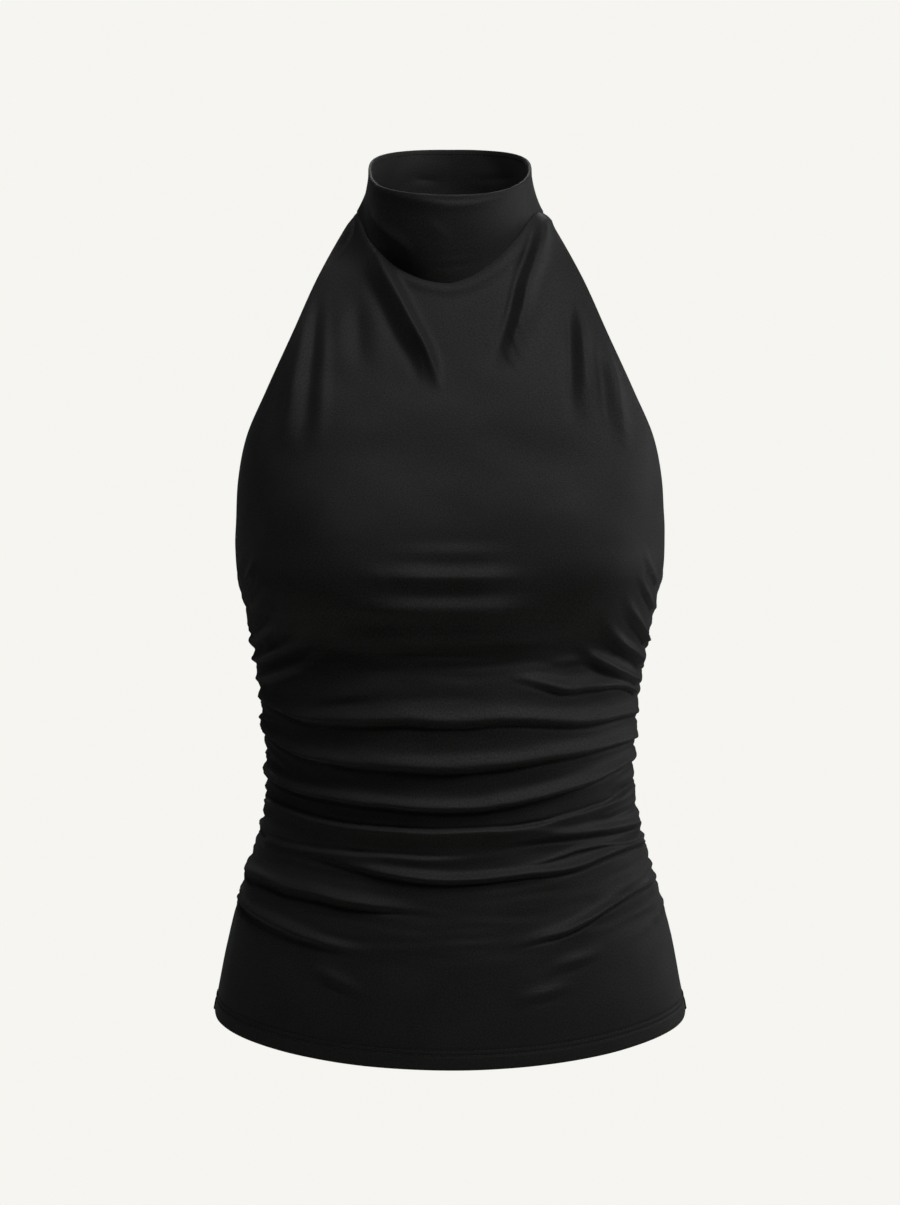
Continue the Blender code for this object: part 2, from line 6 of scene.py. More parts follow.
import bpy
import numpy as np
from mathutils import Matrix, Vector


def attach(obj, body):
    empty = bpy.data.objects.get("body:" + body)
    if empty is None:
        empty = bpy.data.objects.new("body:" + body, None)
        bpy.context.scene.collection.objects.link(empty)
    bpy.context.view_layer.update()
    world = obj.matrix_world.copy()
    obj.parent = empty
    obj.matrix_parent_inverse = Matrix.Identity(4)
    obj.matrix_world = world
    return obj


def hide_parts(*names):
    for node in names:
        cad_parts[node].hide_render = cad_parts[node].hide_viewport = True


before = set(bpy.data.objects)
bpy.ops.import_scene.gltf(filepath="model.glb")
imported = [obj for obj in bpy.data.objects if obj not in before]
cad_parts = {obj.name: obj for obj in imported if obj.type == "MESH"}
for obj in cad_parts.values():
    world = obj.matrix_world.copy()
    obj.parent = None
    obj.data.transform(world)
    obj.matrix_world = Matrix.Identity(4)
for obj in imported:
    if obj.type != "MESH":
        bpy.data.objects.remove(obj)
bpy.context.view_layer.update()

# ---------------------------------------- sizes, in metres
SEAM_TOP = -0.245  # height of the underarm, where the side seams begin
RUCHE_TOP = -0.262  # the ruched stretch of each side seam
RUCHE_END = -0.492
HEM = -0.567  # height of the hem at the side seams
HEM_CORNER_RISE, HEM_CORNER_TALL = 0.0035, 0.024  # the hem rises to the side seams
HEM_CORNER_WIDE = 0.16  # over this share of the depth of the panel
HEM_TURN, SIDE_TURN, TOP_TURN = 0.0135, 0.006, 0.007  # how much of each edge is turned in
HEM_ROLL, SIDE_ROLL, TOP_ROLL = 0.0011, 0.0007, 0.0008  # radii of the folded edges
STITCH_LINES = (0.0090, 0.0122)  # two rows above the edge of the hem
STITCH_GROOVE, STITCH_GROOVE_WIDE = 0.00045, 0.0009
TOP_STITCHES = 0.0065  # the row below the top edge of the back
GATHERS = 22  # on each side seam, on the front and on the back
GATHER_DEPTH = 0.0026
GATHER_REACH = 0.019  # how far a gather runs into the panel before it has faded
SEAM_PULL, SEAM_PULL_WIDE = 0.0010, 0.0030  # the stitched seam is drawn in between the gathers
SEAM_QUIET = 0.0045  # long folds die out this close to a side seam
ARMHOLE_QUIET = 0.0075  # and this much further in along an armhole
SEAM_HOLD, SEAM_HOLD_REACH = 0.60, 0.030  # the seam takes this share of their depth beside it
WRINKLES, UNEVEN = 0.00035, 0.00040  # depths of the stretch wrinkles and of the waves all over
SWELL_CLEAR = 0.035  # the broad swells fade out this close to the side edges
NECK_LEAN_REACH = 0.068  # how far down from the neck seam its lean is felt
# The front rounds over along the neck seam: how far out, how far below it and over what reach,
# each on the left and how much more on the right.
NECK_ROUND, NECK_ROUND_AT, NECK_ROUND_REACH = (0.0012, 0.0012), (0.0045, 0.0040), (0.0030, 0.0028)
CORNER_TALL, CORNER_WIDE, CORNER_IN = 0.014, 0.008, 0.0022  # its top corners lie under the collar
CORNER_HOLD, CORNER_HOLD_WIDE = 0.85, 0.024  # and take this share of the depth of the folds
HALF_WIDTH = 0.15  # of a panel, about: how the shares of a fold's path weigh against its levels
LEDGE_REACH = 0.52  # how far above its line a fold's ledge begins, in widths
LEDGE_REST, LEDGE_REST_REACH = 0.22, 1.6  # share that dies away slowly below it, and how far down
LEDGE_TUCK = 0.30  # how far the cloth goes in right below a sharp ledge
FRONT_COLUMNS, BACK_COLUMNS, NAPE_COLUMNS = 230, 180, 150
SKIRT_ROWS, GATHER_ROWS, CHEST_ROWS, COLLAR_ROWS = 26, 9, 84, 45
HEM_BAND, HEM_STEP = 0.015, 0.0007  # height of the stitched band, and of its rows

# Each row is one level of the front, named by the height of its side edge, and gives that edge
# and the centre front. square and wrap shape the section between them, as in a superellipse,
# and dip says how soon the row falls on its way to the centre.
Level = namedtuple("Level", "edge_z edge_x edge_y centre_z centre_y square wrap dip")
FRONT = [
    Level(-0.602, 0.1715, 0.000, -0.630, -0.1125, 2.0, 2.0, 0.70),
    Level(-0.567, 0.1652, 0.000, -0.5945, -0.1130, 2.0, 2.0, 0.70),
    Level(-0.532, 0.1584, 0.000, -0.559, -0.1135, 2.1, 2.0, 0.78),
    Level(-0.490, 0.1487, 0.000, -0.517, -0.1128, 2.1, 2.0, 0.86),
    Level(-0.450, 0.1364, 0.000, -0.477, -0.1100, 2.1, 2.0, 0.86),
    Level(-0.420, 0.1290, 0.000, -0.449, -0.1095, 2.1, 2.0, 0.86),
    Level(-0.395, 0.1273, 0.000, -0.424, -0.1120, 2.1, 2.0, 0.86),
    Level(-0.360, 0.1303, 0.000, -0.385, -0.1172, 2.2, 2.0, 0.80),
    Level(-0.340, 0.1327, 0.000, -0.358, -0.1192, 2.3, 2.0, 0.78),
    Level(-0.322, 0.1355, 0.000, -0.336, -0.1182, 2.5, 2.1, 0.76),
    Level(-0.311, 0.1375, 0.000, -0.3240, -0.1165, 2.75, 2.1, 0.76),
    Level(-0.300, 0.1397, 0.000, -0.313, -0.1178, 3.0, 2.1, 0.76),
    Level(-0.288, 0.1420, 0.000, -0.2970, -0.1262, 3.4, 2.1, 0.76),
    Level(-0.276, 0.1450, 0.000, -0.2810, -0.1318, 3.9, 2.1, 0.76),
    Level(-0.264, 0.1480, 0.000, -0.266, -0.1332, 4.4, 2.1, 0.76),
    Level(-0.245, 0.1498, 0.000, -0.245, -0.1322, 4.6, 2.1, 0.76),
    Level(-0.222, 0.1482, -0.024, -0.225, -0.1298, 4.8, 1.9, 0.70),
    Level(-0.196, 0.1456, -0.048, -0.205, -0.1250, 4.8, 1.7, 0.65),
    Level(-0.168, 0.1390, -0.066, -0.184, -0.1185, 4.8, 1.5, 0.65),
    Level(-0.138, 0.1256, -0.075, -0.159, -0.1120, 4.6, 1.4, 0.70),
    Level(-0.098, 0.1075, -0.072, -0.130, -0.1010, 4.0, 1.4, 0.72),
    Level(-0.056, 0.0901, -0.048, -0.100, -0.0890, 2.9, 1.5, 0.70),
    Level(-0.026, 0.0752, -0.026, -0.078, -0.0805, 2.2, 1.8, 0.66),
    Level(-0.0072, 0.0648, -0.013, -0.0645, -0.0750, 2.0, 2.0, 0.62),
]

# The neck seam is drawn up on the right: share of the half width, and how far up.
NECK_LEAN = [
    (0, 0), (0.25, 0.0035), (0.50, 0.0085), (0.70, 0.0125), (0.85, 0.0140), (0.94, 0.0100), (1, 0)
]

# The back is read in the same way, with the side edges of the front.
BackLevel = namedtuple("BackLevel", "edge_z centre_z centre_y square wrap dip")
BACK = [
    BackLevel(-0.602, -0.623, 0.1190, 2.3, 2.1, 0.80),
    BackLevel(-0.567, -0.588, 0.1150, 2.3, 2.1, 0.80),
    BackLevel(-0.532, -0.553, 0.1110, 2.3, 2.1, 0.80),
    BackLevel(-0.490, -0.511, 0.1010, 2.3, 2.1, 0.80),
    BackLevel(-0.450, -0.470, 0.0870, 2.4, 2.1, 0.76),
    BackLevel(-0.406, -0.425, 0.0785, 2.4, 2.1, 0.76),
    BackLevel(-0.360, -0.377, 0.0820, 2.5, 2.1, 0.76),
    BackLevel(-0.300, -0.314, 0.0930, 2.6, 2.1, 0.76),
    BackLevel(-0.245, -0.258, 0.1000, 2.6, 2.1, 0.76),
]

# Broad swells and hollows of the front: middle, half width and half height, and how far out.
Swell = namedtuple("Swell", "x z wide tall out")
SWELLS = [
    Swell(-0.070, -0.252, 0.050, 0.044, 0.0035),
    Swell(0.070, -0.252, 0.050, 0.044, 0.0035),
    Swell(-0.082, -0.308, 0.040, 0.024, -0.0062),
    Swell(0.076, -0.307, 0.038, 0.023, -0.0085),
]
NECK_HOLLOW = Swell(-0.070, -0.030, 0.015, 0.028, -0.0062)  # drawn back beside the left of the collar

# path gives points of a fold as share of the half width and level of the side edge, from -X to
# +X or from the top down. depth and width are in mm, with one width for both ends or one for
# each. Above its line the cloth comes out to a ledge, and below it goes back in over the share
# soft of the width. lip is 1 for such a ledge, -1 for one that faces up, 0 for a plain valley, and
# a mix of them between. fade is the share of its length over which its ends, or each, die away.
Fold = namedtuple("Fold", "path depth width soft lip fade")
FRONT_FOLDS = [
    # drape from the collar
    Fold([(-0.707, -0.0075), (-0.597, -0.0105), (-0.503, -0.0154), (-0.397, -0.0253),
          (-0.317, -0.0377), (-0.243, -0.0536), (-0.167, -0.0714), (-0.1, -0.0927), (-0.053, -0.114)],
         12, (15, 9), 0.62, 1, (0.3, 0.4)),
    Fold([(-0.643, -0.006), (-0.557, -0.008), (-0.477, -0.0119), (-0.363, -0.0219), (-0.29, -0.0352),
          (-0.223, -0.0506), (-0.153, -0.0689), (-0.093, -0.0902), (-0.053, -0.1115)],
         3, (7, 5), 0.45, 1, (0.34, 0.5)),
    Fold([(0.89, -0.011), (0.733, -0.0164), (0.65, -0.0209), (0.577, -0.0268), (0.51, -0.0342),
          (0.467, -0.0456), (0.42, -0.058), (0.373, -0.0734), (0.32, -0.0952)],
         9.4, (17, 24), 0.23, 1, (0.28, 0.45)),
    Fold([(-0.94, -0.06), (-0.89, -0.0719), (-0.847, -0.0877), (-0.797, -0.1071), (-0.73, -0.1284),
          (-0.68, -0.1467), (-0.62, -0.1695)], 5.4, (8, 9), 0.5, 0.25, (0.3, 0.35)),
    Fold([(-0.973, -0.1071), (-0.937, -0.1194), (-0.89, -0.1353), (-0.85, -0.1497), (-0.817, -0.169)],
         3.4, (9, 10), 0.5, 0.3, (0.3, 0.4)),
    Fold([(-0.67, -0.0377), (-0.61, -0.0541), (-0.563, -0.0749), (-0.507, -0.1031)],
         1.7, (12,), 0.5, 0, (0.4, 0.5)),
    Fold([(0.907, -0.0555), (0.853, -0.0674), (0.81, -0.0853), (0.76, -0.1046), (0.687, -0.1264),
          (0.627, -0.1492)], 6, (17, 20), 0.27, 1, (0.35, 0.45)),
    Fold([(0.94, -0.0858), (0.923, -0.1021), (0.893, -0.118), (0.84, -0.1338), (0.783, -0.1541),
          (0.737, -0.1725)], 5.8, (15, 18), 0.3, 1, (0.35, 0.5)),
    Fold([(0.103, -0.0451), (0, -0.0853), (-0.03, -0.1199)], 0.7, (14,), 0.5, 0.5, (0.5,)),
    # under the bust, bridging the middle
    Fold([(-0.223, -0.2478), (-0.11, -0.2488), (0, -0.2488), (0.11, -0.2488), (0.223, -0.2478)],
         2.4, (9,), 0.7, 1, (0.5,)),
    Fold([(-0.293, -0.2626), (-0.18, -0.2631), (0, -0.2636), (0.167, -0.2631), (0.267, -0.2626)],
         5.8, (10,), 0.6, 1, (0.4,)),
    Fold([(-0.35, -0.278), (-0.19, -0.279), (0, -0.2795), (0.173, -0.279), (0.32, -0.2775)],
         7, (11,), 0.62, 1, (0.35,)),
    Fold([(-0.41, -0.2938), (-0.327, -0.2943), (-0.187, -0.2938), (0, -0.2948), (0.187, -0.2943),
          (0.327, -0.2933), (0.45, -0.2914)], 6, (10,), 0.8, 1, (0.3,)),
    Fold([(-0.273, -0.3047), (-0.16, -0.3052), (0, -0.3067), (0.13, -0.3057), (0.227, -0.3077)],
         1.4, (6,), 0.4, -1, (0.4,)),
    # fanning out from the right seam
    Fold([(0.59, -0.2408), (0.64, -0.2542), (0.753, -0.2681)], 1.8, (6, 5), 0.35, 1, (0.6, 0.05)),
    Fold([(0.557, -0.2587), (0.653, -0.271), (0.803, -0.2839)], 2.6, (7, 5), 0.3, 1, (0.6, 0.05)),
    Fold([(0.523, -0.273), (0.617, -0.2844), (0.84, -0.3057)], 5, (8, 5), 0.5, 1, (0.5, 0.05)),
    Fold([(0.447, -0.2834), (0.537, -0.2943), (0.62, -0.3028), (0.81, -0.3186)],
         6, (8, 5), 0.6, 1, (0.5, 0.05)),
    Fold([(0.373, -0.2919), (0.44, -0.3018), (0.507, -0.3107), (0.587, -0.3181), (0.823, -0.333)],
         5.5, (8, 5), 0.5, 1, (0.5, 0.05)),
    Fold([(0.21, -0.3082), (0.317, -0.3141), (0.387, -0.3171), (0.44, -0.3166), (0.543, -0.3221),
          (0.683, -0.33)], 2.2, (6,), 0.3, -0.4, (0.4,)),
    Fold([(0.163, -0.3161), (0.23, -0.3196), (0.31, -0.3241), (0.393, -0.3285), (0.493, -0.329),
          (0.643, -0.331), (0.837, -0.3414)], 4.5, (9, 6), 0.17, 1, (0.35, 0.05)),
    # fanning out from the left seam
    Fold([(-0.733, -0.2671), (-0.647, -0.2587), (-0.597, -0.2488)], 1.8, (5, 6), 0.5, 1, (0.05, 0.6)),
    Fold([(-0.817, -0.2854), (-0.653, -0.2735), (-0.563, -0.2626)], 2.6, (5, 7), 0.5, 1, (0.05, 0.6)),
    Fold([(-0.953, -0.3092), (-0.707, -0.2968), (-0.603, -0.2869), (-0.53, -0.2775)],
         4, (5, 8), 0.5, 1, (0.05, 0.5)),
    Fold([(-0.947, -0.3211), (-0.697, -0.3112), (-0.587, -0.3032), (-0.51, -0.2958), (-0.45, -0.2884)],
         4.6, (5, 8), 0.5, 1, (0.05, 0.5)),
    Fold([(-0.98, -0.3354), (-0.693, -0.3246), (-0.547, -0.3151), (-0.457, -0.3057), (-0.383, -0.2973)],
         4.6, (5, 8), 0.5, 1, (0.05, 0.5)),
    Fold([(-0.447, -0.3246), (-0.353, -0.3206), (-0.28, -0.3156), (-0.213, -0.3132), (-0.137, -0.3151)],
         1.6, (8,), 0.4, -0.3, (0.4,)),
    Fold([(-0.573, -0.3394), (-0.467, -0.3359), (-0.36, -0.332), (-0.263, -0.3295), (-0.173, -0.3285)],
         2.4, (9,), 0.25, 0.7, (0.4, 0.5)),
    # long folds across the waist
    Fold([(-0.96, -0.3449), (-0.783, -0.3459), (-0.677, -0.3468), (-0.573, -0.3478), (-0.43, -0.3459),
          (-0.31, -0.3439), (-0.203, -0.3424), (-0.133, -0.3419), (-0.067, -0.3424), (0.007, -0.3429),
          (0.083, -0.3424), (0.17, -0.3419), (0.237, -0.3424), (0.31, -0.3439), (0.39, -0.3463),
          (0.473, -0.3483), (0.573, -0.3498), (0.703, -0.3513), (0.913, -0.3558)],
         5.2, (10,), 0.16, 1, (0.03,)),
    Fold([(-0.93, -0.3582), (-0.843, -0.3662), (-0.753, -0.3686), (-0.667, -0.3701), (-0.593, -0.3706),
          (-0.523, -0.3701), (-0.443, -0.3686), (-0.36, -0.3677), (-0.263, -0.3662), (-0.173, -0.3657),
          (-0.087, -0.3657), (0, -0.3657), (0.087, -0.3652), (0.173, -0.3647), (0.263, -0.3642),
          (0.357, -0.3642), (0.463, -0.3652), (0.587, -0.3667), (0.727, -0.3691), (0.97, -0.3736)],
         6, (11,), 0.16, 1, (0.03,)),
    Fold([(-0.963, -0.3815), (-0.877, -0.3865), (-0.763, -0.3894), (-0.68, -0.3909), (-0.58, -0.3899)],
         3.2, (5,), 0.3, -0.4, (0.05, 0.4)),
    Fold([(-0.97, -0.3939), (-0.81, -0.3974), (-0.703, -0.3974), (-0.603, -0.3964), (-0.507, -0.3944),
          (-0.4, -0.3924), (-0.317, -0.3914), (-0.223, -0.3904), (-0.12, -0.3904), (-0.037, -0.3904),
          (0.037, -0.3904), (0.087, -0.3904), (0.177, -0.3894), (0.27, -0.3885), (0.367, -0.3875),
          (0.473, -0.387), (0.6, -0.3865), (0.703, -0.386), (0.973, -0.387)],
         6, (10,), 0.16, 1, (0.03,)),
    Fold([(-0.907, -0.4172), (-0.69, -0.4137), (-0.543, -0.4122), (-0.407, -0.4103), (-0.29, -0.4083),
          (-0.177, -0.4068), (-0.07, -0.4063), (0.037, -0.4058), (0.143, -0.4058), (0.213, -0.4063),
          (0.27, -0.4063), (0.327, -0.4063), (0.39, -0.4058), (0.473, -0.4058), (0.573, -0.4068),
          (0.67, -0.4073), (0.78, -0.4068), (0.977, -0.4073)], 4.6, (17, 9), 0.08, -1, (0.03,)),
    Fold([(0.623, -0.4063), (0.71, -0.4048), (0.82, -0.4058), (0.97, -0.4063)],
         3, (5,), 0.3, 0, (0.4, 0.05)),
    Fold([(0.1, -0.4147), (0.177, -0.4152), (0.27, -0.4147), (0.367, -0.4157), (0.447, -0.4182),
          (0.537, -0.4212), (0.643, -0.4251), (0.793, -0.4301), (0.983, -0.4355)],
         4.6, (10, 8), 0.22, 1, (0.35, 0.03)),
    Fold([(-0.853, -0.441), (-0.657, -0.437), (-0.527, -0.4335), (-0.38, -0.4296), (-0.213, -0.4261),
          (-0.07, -0.4256), (0.037, -0.4251), (0.16, -0.4246)], 2.4, (8,), 0.2, -1, (0.1, 0.3)),
    Fold([(0.07, -0.4083), (0.177, -0.4078), (0.307, -0.4103), (0.447, -0.4162)],
         1.2, (6,), 0.3, 1, (0.5, 0.4)),
    Fold([(-0.573, -0.4375), (-0.437, -0.4355), (-0.32, -0.4365), (-0.21, -0.4385), (-0.07, -0.4405),
          (0, -0.441), (0.087, -0.4405), (0.173, -0.44), (0.263, -0.4395), (0.357, -0.441),
          (0.457, -0.442), (0.57, -0.4405), (0.683, -0.441), (0.89, -0.4459)],
         5, (10, 8), 0.17, 1, (0.3, 0.03)),
    Fold([(0.203, -0.4321), (0.303, -0.433), (0.397, -0.4316), (0.453, -0.4306), (0.553, -0.4321),
          (0.693, -0.4375), (0.877, -0.442)], 2.2, (4,), 0.25, 1, (0.4, 0.05)),
    Fold([(0.52, -0.4098), (0.597, -0.4137), (0.713, -0.4152), (0.98, -0.4197)],
         2.4, (6, 5), 0.4, 1, (0.4, 0.05)),
    Fold([(0.57, -0.4177), (0.703, -0.4207), (0.983, -0.4291)], 1.6, (4,), 0.3, 1, (0.5, 0.05)),
    # over the belly
    Fold([(-0.98, -0.4682), (-0.807, -0.4643), (-0.7, -0.4628), (-0.613, -0.4628), (-0.543, -0.4618),
          (-0.46, -0.4608), (-0.373, -0.4613), (-0.273, -0.4613), (-0.2, -0.4613), (-0.083, -0.4618),
          (0, -0.4628)], 5.6, (13, 9), 0.2, 1, (0.04, 0.4)),
    Fold([(-0.907, -0.4841), (-0.783, -0.4856), (-0.687, -0.487), (-0.56, -0.489), (-0.433, -0.491),
          (-0.317, -0.493), (-0.19, -0.4955)], 5, (12, 8), 0.22, 1, (0.04, 0.55)),
    Fold([(0.16, -0.4866), (0.23, -0.4861), (0.28, -0.4846), (0.393, -0.4821), (0.493, -0.4771),
          (0.583, -0.4727), (0.707, -0.4707), (0.883, -0.4707)], 6, (10, 5), 0.17, 1, (0.45, 0.04)),
    Fold([(0.5, -0.4687), (0.567, -0.4687), (0.637, -0.4687), (0.74, -0.4692), (0.887, -0.4652)],
         2.2, (5, 4), 0.25, 1, (0.5, 0.05)),
    Fold([(0.29, -0.5069), (0.357, -0.5039), (0.447, -0.5024), (0.537, -0.5004)],
         3, (9, 7), 0.3, 1, (0.5,)),
    Fold([(0.18, -0.5252), (0.25, -0.5222), (0.337, -0.5197), (0.42, -0.5178)],
         2.6, (9, 8), 0.32, 1, (0.5,)),
    Fold([(-0.5, -0.5079), (-0.407, -0.5118), (-0.317, -0.5173), (-0.24, -0.5232)],
         2.6, (10, 9), 0.32, 1, (0.5,)),
]
BACK_FOLDS = [
    Fold([(-0.98, -0.286), (-0.6, -0.296), (-0.3, -0.3), (0.1, -0.303)],
         2.4, (8,), 0.3, 1, (0.04, 0.6)),
    Fold([(-0.2, -0.318), (0.2, -0.318), (0.55, -0.313), (0.98, -0.304)],
         2.8, (8,), 0.28, 1, (0.6, 0.04)),
    Fold([(-0.98, -0.324), (-0.65, -0.333), (-0.3, -0.338), (0.2, -0.34)],
         3, (8,), 0.26, 1, (0.04, 0.6)),
    Fold([(-0.1, -0.358), (0.25, -0.358), (0.6, -0.351), (0.98, -0.342)],
         3.2, (8,), 0.24, 1, (0.6, 0.04)),
    Fold([(-0.98, -0.362), (-0.55, -0.371), (0, -0.376), (0.5, -0.374), (0.98, -0.366)],
         3.4, (9,), 0.2, 1, (0.04,)),
    Fold([(-0.98, -0.388), (-0.5, -0.398), (0, -0.402), (0.5, -0.397), (0.98, -0.388)],
         3.8, (9,), 0.18, 1, (0.04,)),
    Fold([(-0.98, -0.412), (-0.5, -0.42), (-0.1, -0.425), (0.3, -0.424), (0.7, -0.418)],
         2.8, (8,), 0.22, 1, (0.04, 0.5)),
    Fold([(-0.5, -0.444), (-0.1, -0.447), (0.3, -0.444), (0.65, -0.437), (0.98, -0.428)],
         3.2, (8,), 0.26, 1, (0.5, 0.04)),
    Fold([(-0.98, -0.446), (-0.7, -0.456), (-0.35, -0.466), (0, -0.47), (0.3, -0.47)],
         3.2, (8,), 0.26, 1, (0.04, 0.55)),
    Fold([(0.1, -0.492), (0.35, -0.489), (0.65, -0.478), (0.98, -0.464)],
         2.8, (8,), 0.28, 1, (0.55, 0.04)),
    Fold([(-0.98, -0.48), (-0.75, -0.491), (-0.5, -0.5), (-0.25, -0.506)],
         2.6, (8,), 0.3, 1, (0.04, 0.6)),
    Fold([(0.4, -0.521), (0.65, -0.513), (0.98, -0.491)], 2, (8,), 0.34, 1, (0.6, 0.04)),
]


def seam_creases(seed, count):
    """Short creases from each ruched seam, rising at its top and sinking lower down."""
    rng = np.random.default_rng(seed)
    made = []
    for side in (-1, 1):
        for i in range(count):
            place = (i + rng.uniform(-0.35, 0.35)) / count
            level = RUCHE_TOP - 0.010 + (RUCHE_END + 0.006 - RUCHE_TOP) * place
            length = rng.uniform(0.10, 0.36)
            slope = float(np.interp(level, [-0.49, -0.42, -0.35, -0.27], [-0.052, -0.018, 0.020, 0.085]))
            slope *= rng.uniform(0.6, 1.4)
            steps = (0, 0.33, 0.66, 1)
            path = [(side * (0.985 - length * t), level + slope * length * t**0.8) for t in steps]
            depth, width, soft = rng.uniform(1.0, 2.6), rng.uniform(2.5, 4.5), rng.uniform(0.2, 0.4)
            lip = rng.choice([1.0, 1.0, -0.8])
            fade = (0.04, 0.75)
            made.append(Fold(path[::-side], depth, (width,), soft, lip, fade[::-side]))
    return made


# ---------------------------------------- form
def spline(knots, values, at):
    """Reads a smooth curve through the knots, with Catmull-Rom slopes."""
    knots, values, at = (np.asarray(a, float) for a in (knots, values, at))
    slopes = np.gradient(values, knots)
    i = np.clip(np.searchsorted(knots, at) - 1, 0, len(knots) - 2)
    span = knots[i + 1] - knots[i]
    t = (at - knots[i]) / span
    from_low = (1 + 2 * t) * (1 - t) ** 2 * values[i] + t * (1 - t) ** 2 * span * slopes[i]
    from_high = t * t * (3 - 2 * t) * values[i + 1] - t * t * (1 - t) * span * slopes[i + 1]
    return from_low + from_high


def lengths_of(rows):
    """How far along a line of points each of them lies; for a grid, the mean over its columns."""
    steps = np.linalg.norm(np.diff(rows, axis=0), axis=-1)
    return np.concatenate([[0], np.cumsum(steps.reshape(len(steps), -1).mean(1))])


def unit(v):
    return v / np.maximum(np.linalg.norm(v, axis=-1, keepdims=True), 1e-12)


def near(distance, reach):
    """1 where the distance is 0, falling off in a bell curve."""
    return np.exp(-((distance / reach) ** 2))


def column(table, name, level):
    return spline([row.edge_z for row in table], [getattr(row, name) for row in table], level)


def row_points(table, level, across):
    """One row of a panel, from side edge to side edge through the centre."""
    share = np.sin(np.linspace(-np.pi / 2, np.pi / 2, 601))
    rise = np.clip(1 - np.abs(share) ** column(table, "square", level), 0, 1)
    bulge = rise ** (1 / column(table, "wrap", level))
    centre_z = column(table, "centre_z", level)
    z = level + (centre_z - level) * rise ** column(table, "dip", level)
    if level <= SEAM_TOP:
        at_hem = np.clip(1 - (level - HEM) / HEM_CORNER_TALL, 0, 1)
        z += HEM_CORNER_RISE * at_hem * near(bulge, HEM_CORNER_WIDE)
        depth_at = spline([row.centre_z for row in table], [row.centre_y for row in table], z)
        x = column(FRONT, "edge_x", z) * share
        y = depth_at * bulge
    else:
        edge_y = column(table, "edge_y", level)
        lean = spline(*zip(*NECK_LEAN), np.clip(share, 0, 1))
        z += lean * np.clip(1 - (FRONT[-1].edge_z - level) / NECK_LEAN_REACH, 0, 1) ** 2
        x = column(table, "edge_x", level) * share
        y = edge_y + (column(table, "centre_y", level) - edge_y) * bulge
    fine = np.stack([x, y, z], axis=-1)
    length = lengths_of(fine[:, :2])
    at = (across + 1) / 2 * length[-1]
    return np.stack([np.interp(at, length, c) for c in fine.T], axis=-1)


def normals_of(points, outward_y):
    """Unit normals of a grid of points, turned to the side of the sign of outward_y."""
    n = unit(np.cross(np.gradient(points, axis=1), np.gradient(points, axis=0)))
    return -n if n[..., 1].sum() * outward_y < 0 else n


def runs(points):
    """How far each point lies along its row, and the length of the row."""
    steps = np.linalg.norm(np.diff(points, axis=1), axis=-1)
    run = np.concatenate([np.zeros((len(points), 1)), np.cumsum(steps, axis=1)], axis=1)
    return run, run[:, -1:]


def gather_phase(level):
    """Counts the gathers from the top of the ruching; they are wider apart at the top."""
    share = np.clip((RUCHE_TOP - level) / (RUCHE_TOP - RUCHE_END), 0, 1)
    return GATHERS * (0.75 * share + 0.25 * share**2)


def gather_wave(level, side, from_edge):
    """Puffs between the stitches of the ruched seam: round crests, sharp valleys, fading inward."""
    share = (RUCHE_TOP - level) / (RUCHE_TOP - RUCHE_END)
    inside = np.clip(share * 12, 0, 1) * np.clip((1 - share) * 12, 0, 1)
    phase = gather_phase(level)
    # each gather leans a little as it leaves the seam
    lean = from_edge / 0.060 * np.sin(1.9 * phase + side)
    count = phase + side * 0.10 * np.sin(3.1 * phase) + lean
    whole = np.floor(count)

    def chance(k):
        return np.modf(np.abs(np.sin((whole + 1.7) * (12.9898 + 3.3 * k) + 4.1 * side) * 43758.5453))[0]

    # no two are alike in height or in reach
    size = 0.55 + 0.75 * chance(0)
    reach = GATHER_REACH * (0.45 + 1.3 * chance(1))
    puff = np.abs(np.sin(np.pi * count)) ** 0.85
    stitched = 1 - 0.55 * near(from_edge, 0.004)
    fade = np.exp(-((from_edge / reach) ** 1.4))
    return GATHER_DEPTH * inside * size * (puff - 0.62) * stitched * fade


def fold_line(path, level, half_run):
    """Points of a fold's line on the panel laid flat, and the direction of its run at each."""
    path = np.array(path)
    knots = lengths_of(path * [HALF_WIDTH, 1])
    along = np.linspace(0, knots[-1], 49)
    line = np.stack([spline(knots, c, along) for c in path.T], axis=-1)
    line[:, 0] *= np.interp(line[:, 1], level[:, 0], half_run[:, 0])
    run = unit(np.gradient(line, axis=0))
    is_level = abs(run[:, 0]).mean() > abs(run[:, 1]).mean()
    return line, run * (np.sign(run[:, 0].sum()) if is_level else -np.sign(run[:, 1].sum()))


def fold_profile(side, soft, lip):
    """Share of its depth that a fold moves the cloth out, this many widths above its line."""
    side = side if lip >= 0 else -side
    above = np.exp(-((np.maximum(side, 0) / LEDGE_REACH) ** 1.9))
    below = LEDGE_REST * np.exp(np.minimum(side, 0) / LEDGE_REST_REACH)
    below = below + (1 - LEDGE_REST) * np.exp(-((np.maximum(-side, 0) / soft) ** 1.4))
    tuck = near(-side - 1.9 * soft, 0.8 * soft) * np.clip(-side / soft, 0, 1)
    below = below - LEDGE_TUCK * np.clip((0.66 - soft) / 0.08, 0, 1) * tuck
    ledge = np.where(side > 0, above, below)
    # a valley has a low swell along either side
    valley = 0.35 * near(np.abs(side) - 1.3, 0.6) - near(side, 0.6)
    return abs(lip) * ledge + (1 - abs(lip)) * valley


